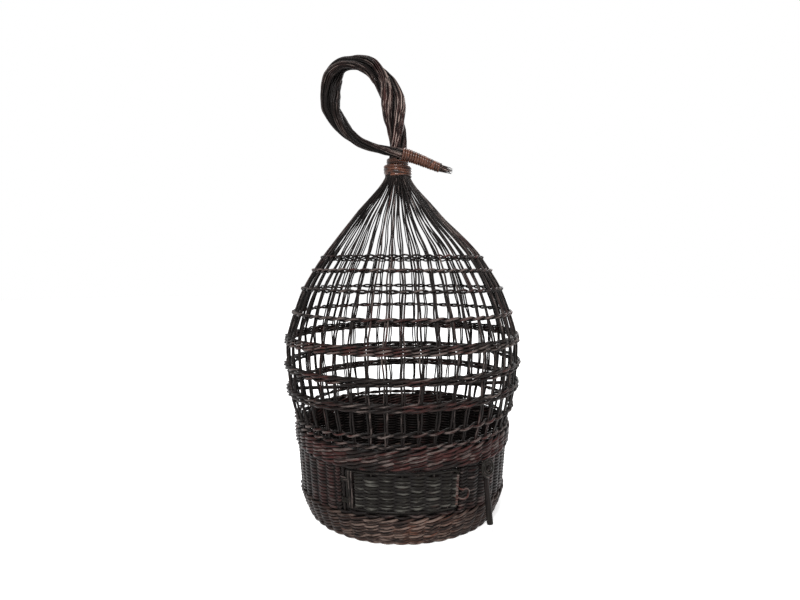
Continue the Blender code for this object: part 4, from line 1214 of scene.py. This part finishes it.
class Latch(bpy.types.Operator):
    """Hangs the peg on its pin beside the door, under a flat coil of cane"""

    bl_idname = "birdcage.latch"
    bl_label = "Latch"

    # Peg: how far it reaches over the pin, its knots and their width
    PEG_TOP = 0.006
    KNOTS = (0.014, 0.041)
    KNOT_WIDTH = 0.0022
    # Pin: how far out it ends, its radius, and the radii of its two heads
    PIN_END = 0.0084
    PIN_RADIUS = 0.0014
    HEAD_RADIUS = 0.0029
    # Coil: its turns, its inner radius, from one turn to the next, and its cane's radius
    COIL_TURNS = 3
    COIL_START = 0.00285
    COIL_PITCH = 0.0027
    COIL_CANE = 0.0011

    def execute(self, context):
        sizes = cage()
        joint = next(joint for joint in frame["joints"] if joint["name"] == "latch_swing")
        centre = np.array(joint["pos_m"])
        outwards = unit(np.array(joint["axis"]))
        downwards = unit(np.array((0, 0, -1.0)) + outwards * outwards[2])
        across = np.cross(outwards, downwards)

        along = np.linspace(-self.PEG_TOP, sizes.peg_length - self.PEG_TOP, 60)
        knots = 0.97 + 0.07 * knotted(along, self.KNOTS, self.KNOT_WIDTH)
        # The peg grows thicker towards its lower end
        knots *= 1 + 0.26 * np.clip((along - 0.008) / 0.050, 0, 1)
        lone_rod("peg", "peg bark", ("latch_peg",), centre + downwards * along[:, None],
                 sizes.peg_radius * knots, 0.4, sides=16, body="peg", slot="stake_rod", domed=0.25)

        low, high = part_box("latch_pin")
        inner = -float(np.linalg.norm(np.array(low)[:2] - centre[:2])) * 0.93
        outer = self.PIN_END
        marks = ((inner, 0.0022), (inner + 0.0016, self.HEAD_RADIUS), (inner + 0.0019, self.PIN_RADIUS),
                 (outer - 0.002, self.PIN_RADIUS), (outer - 0.0017, self.HEAD_RADIUS), (outer, 0.0020))
        stations = np.linspace(inner, outer, 60)
        thickness = np.interp(stations, *np.array(marks).T)
        path = centre + outwards * stations[:, None]
        lone_rod("peg_pin", "peg bark", ("latch_pin",), path, thickness, 0.5, sides=12, slot="stake_rod",
                 cut="peg bark", domed=0.5)

        around = 32
        turns = np.arange(self.COIL_TURNS * around + 1)[:, None]
        angle = FULL_TURN * turns / around
        reach = self.COIL_START + self.COIL_PITCH * turns / around
        front = centre + outwards * (sizes.peg_radius + SLIP + self.COIL_CANE)
        path = front + reach * circled(angle, downwards, across)
        lone_rod("peg_coil", "dark cane", ("latch_button",), path, self.COIL_CANE, 0.7, sides=10)
        return {"FINISHED"}


def handle_course(count):
    """Evenly spaced places on the middle of the handle's bundle, each with the bundle's radius."""
    sizes = cage()
    base = sizes.neck_height + sizes.binding_rise
    root = (0.0, 0.0, -sizes.handle_root / sizes.handle_rise, HANDLE_SHARES[0][3])
    marks = [(aside * sizes.handle_rise - sizes.neck_sway, -forwards * sizes.handle_rise,
              base + up * sizes.handle_rise, width * sizes.handle_radius)
             for aside, forwards, up, width in (root,) + HANDLE_SHARES]
    return smooth_line(marks, count)


def handle_sides(line):
    """Two directions square to the handle's course at each of its points."""
    ahead = np.gradient(line[:, :3], axis=0)
    first = unit(np.cross(ahead, (0.0, 1.0, 0.0)))
    return first, unit(np.cross(ahead, first))


class Handle(bpy.types.Operator):
    """Twists the handle from three bunches of rods and binds its tail"""

    bl_idname = "birdcage.handle"
    bl_label = "Handle"

    POINTS = 190
    BUNCHES = 3
    TWISTS = 2.0
    # Radius of a bunch, where one is as thick as fits without pressing on the others
    FULLNESS = 1.05
    # Each layer of a bunch: how many rods, and as shares of the bunch how far out and how thick they are
    LAYERS = ((8, 0.50, 0.175), (20, 0.880, 0.142))
    # Unevenness along the course, as the length of its longest wave and its reach: of a bunch's way, of the
    # angle at which a rod lies in it, and of how far out the rod lies
    BUNCH_WANDER = (0.085, 0.10)
    LAY_WANDER = (0.5, 0.22)
    OUT_WANDER = (0.12, 0.07)
    # Turns of the rods round their bunch, and by how many points their ends differ
    LAY_TURNS = 0.8
    RAGGED = 7
    # The far side of the loop is darker: by how much, at these shares of the course
    DARKER_AT = (0.24, 0.40, 0.52, 0.74, 0.86)
    DARKER_BY = (0, 0.46, 0.64, 0.64, 0)
    # Binding of the tail: its turns, where on the course it starts and ends, and its cane's half height
    TAIL_TURNS = 16
    TAIL_SHARES = (0.850, 0.963)
    TAIL_CANE = 0.00152

    def execute(self, context):
        rng = np.random.default_rng(23)
        line = handle_course(self.POINTS)
        first, second = handle_sides(line)
        share = np.arange(self.POINTS) / (self.POINTS - 1)
        bunch_radius = self.FULLNESS * line[:, 3] / (1 + 1 / math.sin(math.pi / self.BUNCHES))
        offset = (line[:, 3] - bunch_radius)[:, None]
        for bunch in range(self.BUNCHES):
            angle = (FULL_TURN * (bunch / self.BUNCHES + self.TWISTS * share))[:, None]
            away = circled(angle, first, second)
            sideways = circled(angle, second, -first)
            uneven = wander(rng, share, *self.BUNCH_WANDER) * np.sin(math.pi * share) ** 0.5
            middle = line[:, :3] + offset * away * (1 + uneven[:, None])
            self.add_bunch(bunch, line, middle, away, sideways, bunch_radius, share, rng)
        self.bind_tail(rng)
        return {"FINISHED"}

    def add_bunch(self, bunch, line, middle, away, sideways, bunch_radius, share, rng):
        """Rods laid side by side in two layers, twisting slowly, with ragged cut ends at the tail."""
        rods = Bundle(sides=5)
        # The rods' painted light grows with their distance from the core, so rods near it take painted
        # shade; a wider core makes the far side darker
        core = line.copy()
        core[:, 3] *= 1 + np.interp(share, self.DARKER_AT, self.DARKER_BY)
        for number, out_share, rod_share in self.LAYERS:
            for rod in range(number):
                lay = FULL_TURN * ((rod + 0.25 * rng.random()) / number - self.LAY_TURNS * share)
                lay = lay + wander(rng, share, *self.LAY_WANDER)
                out = (bunch_radius * out_share * (1 + wander(rng, share, *self.OUT_WANDER)))[:, None]
                path = middle + out * (away * np.cos(lay)[:, None] * 0.92 + sideways * np.sin(lay)[:, None])
                thickness = bunch_radius * rod_share * rng.uniform(0.85, 1.12)
                ends_at = len(path) - int(rng.integers(0, self.RAGGED))
                tone = 0.3 * (rod % 2) + 0.7 * rng.random()
                rods.add(path[:ends_at], thickness[:ends_at], tone, domed=0.1, core=core[:ends_at])
        rods.made(f"handle_rods_{bunch + 1}", "handle bark", (f"handle_strand_{bunch + 1}",),
                  slot="stake_rod")

    def bind_tail(self, rng):
        """Cane wound tightly round the tail that crosses in front."""
        around = 16
        line = handle_course(self.TAIL_TURNS * around * 8)
        first, second = handle_sides(line)
        at = np.linspace(*self.TAIL_SHARES, self.TAIL_TURNS * around + 1) * (len(line) - 1)
        at = np.round(at).astype(int)
        turns = np.arange(len(at)) / around
        away = circled((FULL_TURN * np.arange(len(at)) / around)[:, None], first[at], second[at])
        loose = 0.0004 + wander(rng, turns, 3.1, 0.0002)
        path = line[at, :3] + (line[at, 3] + loose)[:, None] * away
        lone_rod("tail_cane", "copper cane", ("tail_binding",), path, self.TAIL_CANE, 0.6, sides=8,
                 flatness=0.55, facing=away)


class Neck(bpy.types.Operator):
    """Binds the tops of the stakes and the foot of the handle with cane"""

    bl_idname = "birdcage.neck"
    bl_label = "Neck binding"

    CANE = 0.0016
    # Space under the cane, on the stakes and on the handle
    STAKES_GAP = 0.0005
    HANDLE_GAP = 0.0009

    def execute(self, context):
        sizes = cage()
        rng = np.random.default_rng(31)
        cane = Bundle(sides=8)
        around = 40
        wide = sizes.neck_radius + sizes.stake_tip_radius + self.STAKES_GAP
        narrow = HANDLE_SHARES[0][3] * sizes.handle_radius + self.HANDLE_GAP
        # Each layer: its lower and upper edge above the neck, its turns, radius and slant in degrees
        for low, high, turns, radius, tilt in (
            (-0.0002, 0.0122, 5, wide, 1.5), (0.0125, 0.0200, 3, narrow, -3.0),
            (0.0015, 0.0115, 3, wide + 0.0011, -5.0),
        ):
            count = turns * around + 1
            start = rng.random() * FULL_TURN
            angle = start + FULL_TURN * np.arange(count) / around
            level = sizes.neck_height + np.linspace(low, high, count)
            level = level + radius * np.sin(angle) * math.tan(math.radians(tilt))
            level = level + wander(rng, angle, 9.0, 0.0003)
            path = spot(radius + wander(rng, angle, 5.0, 0.0003), angle, level)
            cane.add(path + sway(level), self.CANE, rng.random(), 0.5, outward(path))
        cane.made("neck_cane", "copper cane", ("neck_binding",), slot="cane")
        return {"FINISHED"}


class BirdcagePanel(bpy.types.Panel):
    """Lists the steps that make the birdcage"""

    bl_idname = "VIEW3D_PT_birdcage"
    bl_label = "Woven birdcage"
    bl_space_type = "VIEW_3D"
    bl_region_type = "UI"
    bl_category = "Birdcage"

    def draw(self, context):
        layout = self.layout
        for group in (context.scene.birdcage_sizes, context.scene.birdcage_colours):
            box = layout.box()
            for name in group.bl_rna.properties.keys():
                if name not in ("rna_type", "name"):
                    box.prop(group, name)
        for step in STEPS:
            layout.operator(step.bl_idname)


STEPS = (StudioStage, Stakes, Wall, Hoops, Floor, Door, Latch, Handle, Neck)
CLASSES = (BirdcageSizes, BirdcageColours) + STEPS + (BirdcagePanel,)


def register():
    for made in CLASSES:
        bpy.utils.register_class(made)
    bpy.types.Scene.birdcage_sizes = PointerProperty(type=BirdcageSizes)
    bpy.types.Scene.birdcage_colours = PointerProperty(type=BirdcageColours)


def unregister():
    del bpy.types.Scene.birdcage_colours
    del bpy.types.Scene.birdcage_sizes
    for made in reversed(CLASSES):
        bpy.utils.unregister_class(made)


def main():
    """Makes every piece in order."""
    register()
    for step in STEPS:
        group, name = step.bl_idname.split(".")
        getattr(getattr(bpy.ops, group), name)()


if __name__ == "__main__":
    main()
